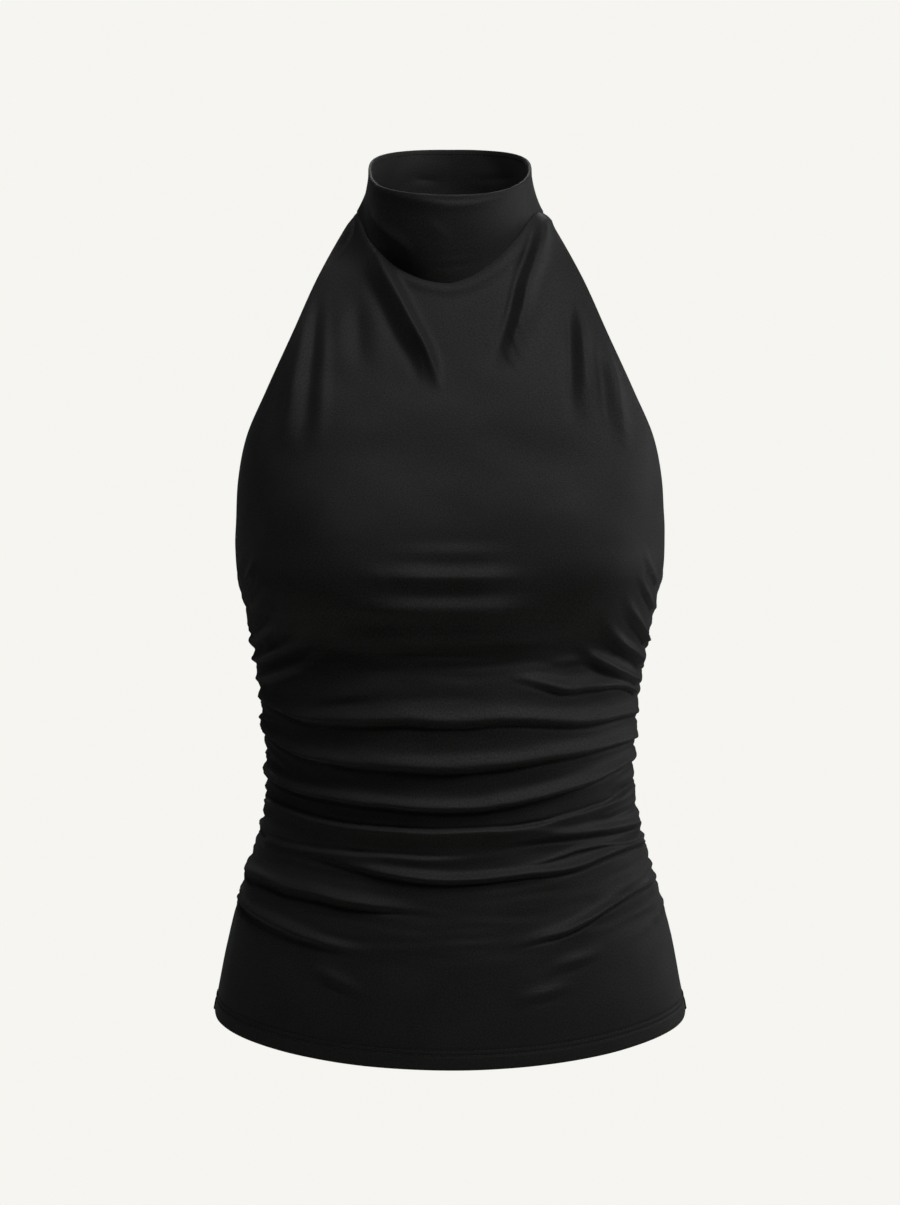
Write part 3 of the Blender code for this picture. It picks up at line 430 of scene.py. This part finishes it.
def fold_field(folds, across, level, half_run):
    """Outward movement of the drape folds over a grid; half_run is half the length of each row."""
    px = across * half_run
    pz = np.broadcast_to(level, px.shape)
    total = np.zeros(px.shape)
    for fold in folds:
        line, run = fold_line(fold.path, level, half_run)
        widths = np.linspace(fold.width[0], fold.width[-1], len(line)) / 1000
        lo, hi = line.min(0) - 6 * widths.max(), line.max(0) + 6 * widths.max()
        here = (px > lo[0]) & (px < hi[0]) & (pz > lo[1]) & (pz < hi[1])
        offset = np.stack([px[here], pz[here]], axis=-1)[:, None, :] - line
        nearest = (offset**2).sum(-1).argmin(axis=-1)
        offset = np.take_along_axis(offset, nearest[:, None, None], axis=1)[:, 0]
        at, width = run[nearest], widths[nearest]
        beside = (offset[:, 1] * at[:, 0] - offset[:, 0] * at[:, 1]) / width
        at_end = (nearest == 0) | (nearest == len(line) - 1)
        beyond = np.where(at_end, (offset * at).sum(-1), 0)
        share = nearest / (len(line) - 1)
        grow = np.clip(share / fold.fade[0], 0, 1) * np.clip((1 - share) / fold.fade[-1], 0, 1)
        fade = grow * grow * (3 - 2 * grow) * near(beyond, width)
        total[here] += fold.depth / 1000 * fade * fold_profile(beside, fold.soft, fold.lip)
    return total


def soft_noise(x, z, seed, count, long, short, squash=1.0):
    """Smooth chance waves with wavelengths between short and long; squash stretches them sideways."""
    rng = np.random.default_rng(seed)
    total = np.zeros(np.broadcast(x, z).shape)
    for _ in range(count):
        size = math.exp(rng.uniform(math.log(short), math.log(long)))
        turn = rng.uniform(0, 2 * np.pi)
        kx, kz = math.cos(turn) / squash, math.sin(turn)
        total += np.sin(2 * np.pi / size * (kx * x + kz * z) + rng.uniform(0, 2 * np.pi)) * size / long
    return total / math.sqrt(count)


def shares(count, level):
    """Shares from -1 to 1 along a row, which lie closer together at the side seams."""
    even = np.linspace(-1, 1, count + 1)
    closer = 0.42 * np.clip((-0.10 - level) / 0.12, 0, 1)
    return even + closer * (np.sin(even * np.pi / 2) - even)


def swell_share(points, swell):
    return near(points[..., 0] - swell.x, swell.wide) * near(points[..., 2] - swell.z, swell.tall)


def form_neck(moved, points, across, from_edge):
    """The front below its neck seam: rounded over along it, and drawn back beside the collar."""
    step = np.linalg.norm(np.diff(points, axis=0), axis=-1)[::-1]
    below = np.concatenate([np.zeros((1, points.shape[1])), np.cumsum(step, axis=0)])[::-1]
    moved = moved * (1 - CORNER_HOLD * near(below, CORNER_TALL) * near(from_edge, CORNER_HOLD_WIDE))
    right = np.clip((across + 0.1) / 0.6, 0, 1)
    out, at, reach = (a + more * right for a, more in (NECK_ROUND, NECK_ROUND_AT, NECK_ROUND_REACH))
    rounded = out * near(below - at, reach)
    moved = moved + NECK_HOLLOW.out * swell_share(points, NECK_HOLLOW) * (1 - near(from_edge, 0.004))
    corner = near(from_edge, CORNER_WIDE) * (1 - np.clip(below / CORNER_TALL, 0, 1))
    return (moved + rounded) * (1 - corner) - CORNER_IN * corner


def panel(table, folds, levels, columns, outward_y, seed):
    """Outer points of a panel, its normals and its cloth coordinates."""
    is_front = outward_y < 0
    across = np.array([shares(columns, level) for level in levels])
    points = np.array([row_points(table, level, row) for level, row in zip(levels, across)])
    run, whole = runs(points)
    from_edge = np.minimum(run, whole - run)
    level = levels[:, None]
    if is_front:
        away = 1 - near(from_edge, SWELL_CLEAR)
        for swell in SWELLS:
            points[..., 1] -= swell.out * swell_share(points, swell) * away
    # along the side seams the cloth moves straight out to the side
    on_seam = levels <= SEAM_TOP
    normals = normals_of(points, outward_y)
    normals[np.ix_(on_seam, [0, -1], [1])] = 0
    normals = unit(normals)
    # the long folds are shallower at the sides, where the seam holds the cloth
    held = SEAM_HOLD * near(from_edge, SEAM_HOLD_REACH) * np.clip((-0.22 - level) / 0.05, 0, 1)
    moved = fold_field(folds, across, level, whole / 2) * (1 - held)
    # fine stretch wrinkles where the cloth is ruched, and a faint unevenness all over
    sideways = across * whole / 2
    ruched = np.clip((RUCHE_TOP - level) / 0.04, 0, 1) * np.clip((level - RUCHE_END) / 0.03 + 1, 0, 1)
    moved += WRINKLES * ruched * soft_noise(sideways, level, seed, 30, 0.016, 0.006, squash=7)
    moved += UNEVEN * soft_noise(sideways, level, seed + 1, 24, 0.080, 0.025, squash=1.2)
    above = np.clip((level - SEAM_TOP) / 0.03, 0, 1)
    moved *= 1 - (0.80 + 0.20 * above) * near(from_edge, SEAM_QUIET + ARMHOLE_QUIET * above)
    moved += gather_wave(level, np.sign(across), from_edge)
    stitched = on_seam[:, None] * np.clip((RUCHE_TOP - level) / 0.01, 0, 1)
    moved -= SEAM_PULL * stitched * near(from_edge, SEAM_PULL_WIDE)
    if is_front:
        moved = form_neck(moved, points, across, from_edge)
    for height in STITCH_LINES:
        moved -= STITCH_GROOVE * near(level - HEM - height, STITCH_GROOVE_WIDE)
    points = points + normals * moved[..., None]
    # neither panel reaches past the plane of the side seams
    seam = points[on_seam]
    seam[..., 1] = np.maximum(seam[..., 1] * outward_y, 0.0002) * outward_y
    points[on_seam] = seam
    cloth = np.stack([run - whole / 2, np.broadcast_to(level, run.shape)], axis=-1)
    return points, normals_of(points, outward_y), cloth


# ---------------------------------------- turned edges
def turn_in(points, normals, cloth, axis, end, radius, depth, steps=4, roll=5):
    """Adds a turned-in edge to one side of a grid: a half-round fold, then a layer lying inside."""
    sheet = [np.flip(a, axis) if end == 0 else a for a in (points, normals, cloth)]
    sheet = points, normals, cloth = [np.swapaxes(a, 0, axis) for a in sheet]
    edge, n = points[-1], unit(normals[-1])
    out = unit(points[-1] - points[-2])
    out = unit(out - (out * n).sum(-1, keepdims=True) * n)
    new_p, new_n, new_c = [], [], []
    span = np.linalg.norm(points[-1] - points[-2], axis=-1).mean()
    step_c = (cloth[-1] - cloth[-2]) / max(span, 1e-9)
    for a in np.linspace(0, np.pi, roll + 1)[1:]:
        new_p.append(edge + radius * (math.sin(a) * out - (1 - math.cos(a)) * n))
        new_n.append(math.cos(a) * n + math.sin(a) * out)
        new_c.append(cloth[-1] + step_c * radius * a)
    # the inside layer follows the outer rows back
    back, back_n = points[::-1], normals[::-1]
    lengths = lengths_of(back)
    for d in np.linspace(0, depth, steps + 1)[1:]:
        i = min(np.searchsorted(lengths, d), len(lengths) - 1)
        t = (d - lengths[i - 1]) / max(lengths[i] - lengths[i - 1], 1e-9)
        p = back[i - 1] * (1 - t) + back[i] * t
        q = unit(back_n[i - 1] * (1 - t) + back_n[i] * t)
        new_p.append(p - 2 * radius * q)
        new_n.append(-q)
        new_c.append(cloth[-1] + step_c * (radius * np.pi + d))
    sheet = [np.swapaxes(np.concatenate(pair), 0, axis) for pair in zip(sheet, (new_p, new_n, new_c))]
    return [np.flip(a, axis) if end == 0 else a for a in sheet]


def link(name, data):
    made = bpy.data.objects.new(name, data)
    bpy.context.scene.collection.objects.link(made)
    return made


def grid_mesh(name, points, cloth, flip=False, ring=False):
    """A mesh on a grid of points, closed across its columns for a ring, with its cloth coordinates."""
    rows, columns = points.shape[:2]
    index = np.arange(rows * columns).reshape(rows, columns)
    if ring:
        index = np.concatenate([index, index[:, :1]], axis=1)
    a, b, c, d = index[:-1, :-1], index[:-1, 1:], index[1:, 1:], index[1:, :-1]
    faces = np.stack([a, b, c, d] if not flip else [a, d, c, b], axis=-1).reshape(-1, 4)
    mesh = bpy.data.meshes.new(name)
    mesh.vertices.add(rows * columns)
    mesh.vertices.foreach_set("co", points.reshape(-1).astype(np.float32))
    mesh.loops.add(len(faces) * 4)
    mesh.loops.foreach_set("vertex_index", faces.reshape(-1).astype(np.int32))
    mesh.polygons.add(len(faces))
    mesh.polygons.foreach_set("loop_start", np.arange(0, len(faces) * 4, 4, dtype=np.int32))
    mesh.polygons.foreach_set("loop_total", np.full(len(faces), 4, dtype=np.int32))
    mesh.update(calc_edges=True)
    # cloth coordinates in metres; where a ring closes they run on past its start
    u, v = cloth.reshape(-1, 2).T[:, faces]
    if ring:
        whole = (u.max() - u.min()) * columns / (columns - 1)
        u = np.where(u < u.max(axis=1, keepdims=True) - whole / 2, u + whole, u)
    layer = mesh.uv_layers.new(name="cloth")
    layer.data.foreach_set("uv", np.stack([u, v], axis=-1).reshape(-1).astype(np.float32))
    mesh.shade_smooth()
    mesh.validate()
    return link(name, mesh)


# ---------------------------------------- panels
def front_levels():
    """Levels of the rows: close at the stitched hem, and as many for each gather."""
    hem = np.arange(HEM, HEM + HEM_BAND, HEM_STEP)
    skirt = np.linspace(HEM + HEM_BAND, RUCHE_END, SKIRT_ROWS)[1:-1]
    fine = np.linspace(RUCHE_TOP, RUCHE_END, 8001)
    ruche = np.interp(np.linspace(GATHERS, 0, GATHER_ROWS * GATHERS + 1), gather_phase(fine), fine)
    chest = np.linspace(RUCHE_TOP, FRONT[-1].edge_z, CHEST_ROWS)[1:]
    return np.concatenate([hem, skirt, ruche, chest])


def back_levels():
    """Those of the front, up to the top edge of the back."""
    levels = front_levels()
    return np.append(levels[levels < SEAM_TOP - 0.0005], SEAM_TOP)


def panel_mesh(name, sheet, flip=False):
    """The panel with its sides, its hem and its top edge turned in."""
    for end in (0, -1):
        sheet = turn_in(*sheet, 1, end, SIDE_ROLL, SIDE_TURN, steps=3)
    sheet = turn_in(*sheet, 0, 0, HEM_ROLL, HEM_TURN, steps=6)
    points, _, cloth = turn_in(*sheet, 0, -1, TOP_ROLL, TOP_TURN, steps=4)
    return grid_mesh(name, points, cloth, flip)


front_sheet = panel(FRONT, FRONT_FOLDS + seam_creases(5, 20), front_levels(), FRONT_COLUMNS, -1, 11)
back_sheet = panel(BACK, BACK_FOLDS + seam_creases(8, 20), back_levels(), BACK_COLUMNS, 1, 23)
front = panel_mesh("front_jersey", front_sheet)
back = panel_mesh("back_jersey", back_sheet, flip=True)


# ---------------------------------------- collar
# The rim is a squared oval, with its middle at RIM_Y and RIM_Z; it tilts and sags to the front.
RIM_HALF, RIM_DEPTH, RIM_SQUARE = 0.0565, 0.0665, 2.3
RIM_Y, RIM_Z, RIM_TILT, RIM_SAG = -0.0105, 0.022, 0.0235, 0.0045
NAPE_Y, NAPE_Z = 0.0615, 0.000  # the middle of the collar's lower edge at the back
COLLAR_ROUND, COLLAR_TALL = 0.066, 0.050  # radius and height that its creases are measured on
Spot = namedtuple("Spot", "out at wide")  # at and wide are degrees round from the front
RECESS, RECESS_LEFT = 0.0010, Spot(0.0034, -46, 26)  # how far it rises from behind the front
COVER = Spot(0.0020, 90, 14)  # it covers the top corners of the front on both sides
BELOW, BELOW_SHARE = 0.0030, 1.8  # how far it reaches below the top of the front, more in a recess
LEANS = [Spot(0.0060, -32, 27), Spot(0.0080, 0, 48)]  # how far the front of its rim leans out
COLLAR_SWELL, COLLAR_UNEVEN = 0.0022, 0.0004
COLLAR_ROLL = 0.0011  # radius of the fold along the rim


def collar_rings():
    """The neck seam with the free edge at the nape, the rim above it, and the angle from the front."""
    top = front_sheet[0][-1]
    edge = top[-1]
    turn = np.linspace(0, np.pi, NAPE_COLUMNS + 1)[1:-1]
    x = edge[0] * np.cos(turn)
    y = edge[1] + (NAPE_Y - edge[1]) * np.sin(turn)
    z = edge[2] + (NAPE_Z - edge[2]) * np.sin(turn)
    seam = np.concatenate([top, np.stack([x, y, z], axis=-1)])
    angle = np.arctan2(seam[:, 0], -(seam[:, 1] - RIM_Y))
    across, ahead = np.sin(angle), np.cos(angle)
    squared = (abs(across) ** RIM_SQUARE + abs(ahead) ** RIM_SQUARE) ** (-1 / RIM_SQUARE)
    across, ahead = squared * across, squared * ahead
    rim_z = RIM_Z - RIM_TILT * ahead - RIM_SAG * ahead**2
    rim = np.stack([RIM_HALF * across, RIM_Y - RIM_DEPTH * ahead, rim_z], axis=-1)
    return seam, rim, angle


# Here a path gives degrees round from the front, and the share of the height up to the rim.
COLLAR_CREASES = [
    Fold([(-68.1, 0.477), (-52.1, 0.523), (-42.6, 0.477), (-32.9, 0.455), (-26.1, 0.386),
          (-19.9, 0.318)], 2, (9,), 0.7, 1, (0.4,)),
    Fold([(-16.1, 0.295), (-6.1, 0.295), (3, 0.295), (12.2, 0.273), (19.8, 0.25)],
         1.5, (5,), 0.4, 0.6, (0.5,)),
    Fold([(-21.5, 0.795), (-14.6, 0.727), (-6.1, 0.614), (3.8, 0.5)], 1.2, (8, 7), 0.6, 0.8, (0.5,)),
    Fold([(-57.9, 0.977), (-35.1, 0.977), (-23, 0.955), (-11.5, 0.932), (0, 0.909), (15.3, 0.909),
          (28.9, 0.932), (45.5, 0.955)], 2.2, (4,), 0.9, 1, (0.15, 0.4)),
    Fold([(-150, 0.55), (-164, 0.5), (-178, 0.48)], 0.8, (6,), 0.4, 1, (0.5,)),
    Fold([(120, 0.62), (150, 0.52), (178, 0.5)], 0.8, (6,), 0.4, 1, (0.5,)),
]


def ring_normals(rings):
    """Outward normals of rings of points, each closed on itself."""
    onward = np.roll(rings, -1, 1) - np.roll(rings, 1, 1)
    return unit(np.cross(onward, np.gradient(rings, axis=0)))


def at_spot(degrees, spot):
    return spot.out * near(degrees - spot.at, spot.wide)


def collar_points():
    """Outer points of the collar in rings from its lower edge to the rim, and the run of its seam."""
    seam, rim, angle = collar_rings()
    degrees = np.degrees(angle)
    in_front = np.clip(np.cos(angle) * 2.0 + 0.1, 0, 1)
    recess = (RECESS + at_spot(degrees, RECESS_LEFT)) * in_front
    cover = at_spot(abs(degrees), COVER)
    inward = np.stack([-np.sin(angle), np.cos(angle), 0 * angle], axis=-1)
    base = seam + inward * (recess - cover)[:, None]
    base[:, 2] -= (BELOW + BELOW_SHARE * (recess - RECESS)) * in_front * (1 - cover / COVER.out)
    # it narrows towards the rim sooner at the sides
    heights = np.linspace(0, 1, COLLAR_ROWS)[:, None]
    sideways = (1 - heights) ** (1.1 + 1.1 * abs(np.sin(angle)))
    upright = np.broadcast_to(1 - heights, sideways.shape)
    outer = rim + (base - rim) * np.stack([sideways, sideways, upright], axis=-1)
    # its creases, on a grid in order round the neck
    order = np.argsort(degrees)
    across = np.broadcast_to(angle[order] * COLLAR_ROUND, sideways.shape)
    creases = []
    for fold in COLLAR_CREASES:
        path = [(math.radians(a) * COLLAR_ROUND, h * COLLAR_TALL) for a, h in fold.path]
        creases.append(fold._replace(path=path))
    moved = np.zeros(sideways.shape)
    moved[:, order] = fold_field(creases, across, heights * COLLAR_TALL, np.ones(heights.shape))
    # the loose front swells between them, and all of it is a little uneven
    moved += COLLAR_SWELL * np.clip(np.cos(angle), 0, 1) ** 1.2 * np.sin(np.pi * heights) ** 1.2
    x, z = 0.06 * np.sin(angle), 0.06 * np.cos(angle) + COLLAR_TALL * heights
    moved += COLLAR_UNEVEN * soft_noise(x, z, 31, 20, 0.05, 0.02)
    moved *= np.sin(np.pi * np.minimum(heights, 0.985)) ** 0.35
    # its front leans out towards the rim, most on the left
    moved += heights**1.2 * sum(at_spot(degrees, lean) for lean in LEANS)
    return outer + ring_normals(outer) * moved[..., None], lengths_of(seam)


outer, seam_run = collar_points()
outer_n = ring_normals(outer)
up = unit(outer[-1] - outer[-3])
rim_roll = []
for a in np.linspace(0, np.pi, 8)[1:-1]:
    rim_roll.append(outer[-1] + COLLAR_ROLL * (math.sin(a) * up - (1 - math.cos(a)) * outer_n[-1]))
inner, inner_n = (outer - 2 * COLLAR_ROLL * outer_n)[::-2], -outer_n[::-2]
collar_grid = np.concatenate([outer, rim_roll, inner])
collar_cloth = np.broadcast_arrays(seam_run, lengths_of(collar_grid)[:, None])
collar = grid_mesh("collar_jersey", collar_grid, np.stack(collar_cloth, axis=-1), ring=True)


# ---------------------------------------- stitches
LOOP_SIDES = 6
LOOP_RINGS = np.array([0.0, 0.18, 0.5, 0.82, 1.0])  # shares of the length of a stitch
LOOP_GIRTH = np.array([0.25, 0.85, 1.0, 0.85, 0.25])
LOOP_RISE = np.array([-0.5, 0.2, 0.6, 0.2, -0.5])  # in half widths; its ends lie in the cloth
THREAD, THREAD_LIFT = 0.00042, 0.00010


def stitch_row(lines, pitch, length):
    """Small thread loops laid along lines of (points, normals)."""
    turn = np.arange(LOOP_SIDES)[:, None] * 2 * np.pi / LOOP_SIDES
    one_round = list(range(LOOP_SIDES))
    last = (len(LOOP_RINGS) - 1) * LOOP_SIDES
    verts, faces = [], []
    for points, normals in lines:
        run = lengths_of(points)
        for k in range(int(run[-1] / pitch)):
            at = (k + 0.5) * pitch + (LOOP_RINGS - 0.5) * length
            p = np.stack([np.interp(at, run, c) for c in points.T], axis=-1)
            n = unit(np.stack([np.interp(at, run, c) for c in normals.T], axis=-1))
            b = np.cross(unit(np.gradient(p, axis=0)), n)
            first = len(verts) * LOOP_SIDES
            for j, girth in enumerate(LOOP_GIRTH * THREAD / 2):
                centre = p[j] + n[j] * (THREAD_LIFT + LOOP_RISE[j] * THREAD / 2)
                verts.append(centre + girth * (np.cos(turn) * b[j] + np.sin(turn) * n[j]))
            for q in range(first, first + last, LOOP_SIDES):
                for i in one_round:
                    i2 = (i + 1) % LOOP_SIDES
                    faces.append((q + i, q + i2, q + LOOP_SIDES + i2, q + LOOP_SIDES + i))
            faces.append([first + i for i in one_round][::-1])
            faces.append([first + last + i for i in one_round])
    return np.concatenate(verts), faces


def thread_object(name, lines, pitch=0.0030, length=0.0025):
    verts, faces = stitch_row(lines, pitch, length)
    mesh = bpy.data.meshes.new(name)
    mesh.from_pydata(verts.tolist(), [], faces)
    mesh.shade_smooth()
    return link(name, mesh)


def along_row(sheet, height, from_top=False):
    """The line of a panel that lies this far above its lower edge, or below its top edge."""
    points, normals = (a[::-1] if from_top else a for a in sheet[:2])
    lengths = lengths_of(points[:41, points.shape[1] // 2])
    i = np.searchsorted(lengths, height)
    t = (height - lengths[i - 1]) / (lengths[i] - lengths[i - 1])
    return points[i - 1] * (1 - t) + points[i] * t, unit(normals[i - 1] * (1 - t) + normals[i] * t)


hem_front = thread_object("hem_stitches_front", [along_row(front_sheet, d) for d in STITCH_LINES])
hem_back = thread_object("hem_stitches_back", [along_row(back_sheet, d) for d in STITCH_LINES])
top_back = thread_object("top_stitches_back", [along_row(back_sheet, TOP_STITCHES, from_top=True)])
# inside the collar, one row of its inner layer below the rim
collar_line = [np.concatenate([a[1], a[1, :1]]) for a in (inner, inner_n)]
collar_stitches = thread_object("collar_stitches", [collar_line], pitch=0.0026, length=0.0020)


# ---------------------------------------- materials
WALE, COURSE = 0.00075, 0.00055  # spacing of the columns and of the rows of knit stitches
DARK, PALE = (0.0052, 0.0056, 0.0048), (0.0212, 0.0220, 0.0208)  # ends of the heather of the jersey
THREAD_DARK, THREAD_PALE = (0.003,) * 3, (0.012,) * 3


def fill(node, inputs):
    """Sets inputs of a node, by name or number, to values or to the sockets that feed them."""
    for key, value in inputs.items():
        if isinstance(value, bpy.types.NodeSocket):
            node.id_data.links.new(value, node.inputs[key])
        else:
            node.inputs[key].default_value = value


def add(tree, kind, inputs=None, **settings):
    made = tree.nodes.new(kind)
    for key, value in settings.items():
        setattr(made, key, value)
    fill(made, inputs or {})
    return made


def ramp(tree, value, low, high):
    """A colour between two (position, colour) ends."""
    made = add(tree, "ShaderNodeValToRGB", {0: value})
    for element, (position, colour) in zip(made.color_ramp.elements, (low, high)):
        element.position = position
        element.color = (*colour, 1)
    return made.outputs[0]


def new_material(name):
    material = bpy.data.materials.new(name)
    material.use_nodes = True
    return material, material.node_tree, material.node_tree.nodes["Principled BSDF"]


def jersey(name):
    """Fine black jersey: columns of knit stitches, a little pilling and a soft sheen."""
    material, tree, shader = new_material(name)

    def maths(operation, *values):
        return add(tree, "ShaderNodeMath", dict(enumerate(values)), operation=operation).outputs[0]

    def blend(a, share_a, b, share_b):
        return maths("ADD", maths("MULTIPLY", a, share_a), maths("MULTIPLY", b, share_b))

    cloth = add(tree, "ShaderNodeUVMap", uv_map="cloth").outputs[0]
    u, v = add(tree, "ShaderNodeSeparateXYZ", {0: cloth}).outputs[:2]
    # each stitch is a V of two legs
    wale = maths("PINGPONG", maths("MULTIPLY", u, 1 / WALE), 0.5)
    course = maths("SINE", maths("MULTIPLY", blend(v, 1 / COURSE, wale, 0.9), 2 * math.pi))
    legs = maths("SINE", maths("MULTIPLY", wale, 2 * math.pi))
    knit = blend(legs, 0.6, course, 0.4)
    grain, cloud = (
        add(tree, "ShaderNodeTexNoise", {"Vector": cloth, "Scale": scale, "Detail": detail}).outputs["Fac"]
        for scale, detail in ((900.0, 2.0), (28.0, 3.0))
    )
    heather = maths("ADD", blend(grain, 0.75, cloud, 0.25), maths("MULTIPLY", knit, 0.06))
    # the paler fibres shine a little more
    spread = {"Value": grain, "From Min": 0.3, "From Max": 0.7, "To Min": 0.70, "To Max": 0.54}
    roughness = add(tree, "ShaderNodeMapRange", spread).outputs[0]
    relief = {"Height": blend(knit, 0.5, grain, 0.9), "Strength": 0.35, "Distance": 0.00015}
    look = {
        "Base Color": ramp(tree, heather, (0.30, DARK), (0.72, PALE)),
        "Roughness": roughness,
        "Normal": add(tree, "ShaderNodeBump", relief).outputs[0],
        "Specular IOR Level": 0.22,
        "Sheen Weight": 0.06,
        "Sheen Roughness": 0.45,
        "Sheen Tint": (0.86, 0.93, 0.92, 1.0),
    }
    fill(shader, look)
    return material


def thread_material():
    material, tree, shader = new_material("black_thread")
    coord = add(tree, "ShaderNodeTexCoord").outputs["Object"]
    noise = add(tree, "ShaderNodeTexNoise", {"Vector": coord, "Scale": 700.0}).outputs["Fac"]
    colour = ramp(tree, noise, (0, THREAD_DARK), (1, THREAD_PALE))
    fill(shader, {"Base Color": colour, "Roughness": 0.60, "Sheen Weight": 0.03})
    return material


thread = thread_material()
for piece, node_name, slot_name in (
    (front, "front_panel", "jersey_front"),
    (back, "back_panel", "jersey_back"),
    (collar, "collar", "jersey_collar"),
):
    piece.data.materials.append(jersey(slot_name + "_knit"))
    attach(piece, "root")
    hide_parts(node_name)
for piece, slot_name in (
    (hem_front, "jersey_front"),
    (hem_back, "jersey_back"),
    (top_back, "jersey_back"),
    (collar_stitches, "jersey_collar"),
):
    piece.data.materials.append(thread)
    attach(piece, "root")


# ---------------------------------------- studio
BACKDROP = (0.9216, 0.9131, 0.8796)
FILL_LIGHT = 0.038
FLOOR_RADIUS, FLOOR_Z, FLOOR_SIDES = 1.6, -1.45, 96
CHEST, BACK_OF_CHEST = (0.0, -0.02, -0.28), (0.0, 0.02, -0.28)
CAMERA_Z, CAMERA_AWAY = -0.2814, 2.7
PIXEL, PHOTO_TALL = 0.0007, 1205  # metres that a pixel of the photo shows, and its height in pixels


def area_light(name, place, size, power, aim=CHEST):
    lamp = bpy.data.lights.new(name, "AREA")
    lamp.shape = "RECTANGLE"
    lamp.size = lamp.size_y = size
    lamp.energy = power
    made = link(name, lamp)
    made.location = place
    made.rotation_mode = "QUATERNION"
    made.rotation_quaternion = (Vector(aim) - Vector(place)).to_track_quat("-Z", "Y")


area_light("key", (0.0, -1.3, 2.0), 0.7, 16.5)
area_light("right_key", (0.9, -1.1, 1.0), 0.5, 9.0)
area_light("right_high", (1.4, -0.8, 1.3), 0.5, 2.0)
area_light("right_near", (1.0, -0.35, 0.15), 0.4, 1.5)
area_light("right_rim", (2.0, 0.8, 0.2), 1.0, 7.2)
area_light("left_rim", (-2.4, -0.4, -0.2), 1.0, 1.2)
area_light("back", (0.0, 2.4, 2.0), 2.0, 26.0, aim=BACK_OF_CHEST)

# the camera sees the pale backdrop, and the top is lit by a faint white one
world = bpy.data.worlds.new("studio")
bpy.context.scene.world = world
world.use_nodes = True
world_tree = world.node_tree
world_tree.nodes.clear()
seen = add(world_tree, "ShaderNodeBackground", {0: (*BACKDROP, 1)}).outputs[0]
lit = add(world_tree, "ShaderNodeBackground", {0: (1, 1, 1, 1), 1: FILL_LIGHT}).outputs[0]
by_camera = add(world_tree, "ShaderNodeLightPath").outputs["Is Camera Ray"]
mixed = add(world_tree, "ShaderNodeMixShader", {0: by_camera, 1: lit, 2: seen}).outputs[0]
add(world_tree, "ShaderNodeOutputWorld", {0: mixed})

# the pale floor far below glows for the camera alone, up to the backdrop's brightness
floor_mesh = bpy.data.meshes.new("floor")
rim_turn = np.linspace(0, 2 * np.pi, FLOOR_SIDES + 1)[:-1]
disc = [(FLOOR_RADIUS * math.cos(a), FLOOR_RADIUS * math.sin(a), FLOOR_Z) for a in rim_turn]
floor_mesh.from_pydata(disc, [], [tuple(range(FLOOR_SIDES))])
floor = link("floor", floor_mesh)
pale, pale_tree, pale_shader = new_material("pale_floor")
by_camera = add(pale_tree, "ShaderNodeLightPath").outputs["Is Camera Ray"]
glow = add(pale_tree, "ShaderNodeMath", {0: by_camera, 1: 0.55}, operation="MULTIPLY").outputs[0]
fill(pale_shader, {"Base Color": (0.80, 0.79, 0.76, 1), "Roughness": 0.85})
fill(pale_shader, {"Emission Color": (*BACKDROP, 1), "Emission Strength": glow})
floor.data.materials.append(pale)

camera = link("camera", bpy.data.cameras.new("camera"))
camera.location = (0.0, -CAMERA_AWAY, CAMERA_Z)
camera.rotation_euler = (math.pi / 2, 0, 0)
camera.data.sensor_width = 36
camera.data.lens = 36 * CAMERA_AWAY / (PHOTO_TALL * PIXEL)
bpy.context.scene.camera = camera
bpy.context.scene.view_settings.view_transform = "Standard"
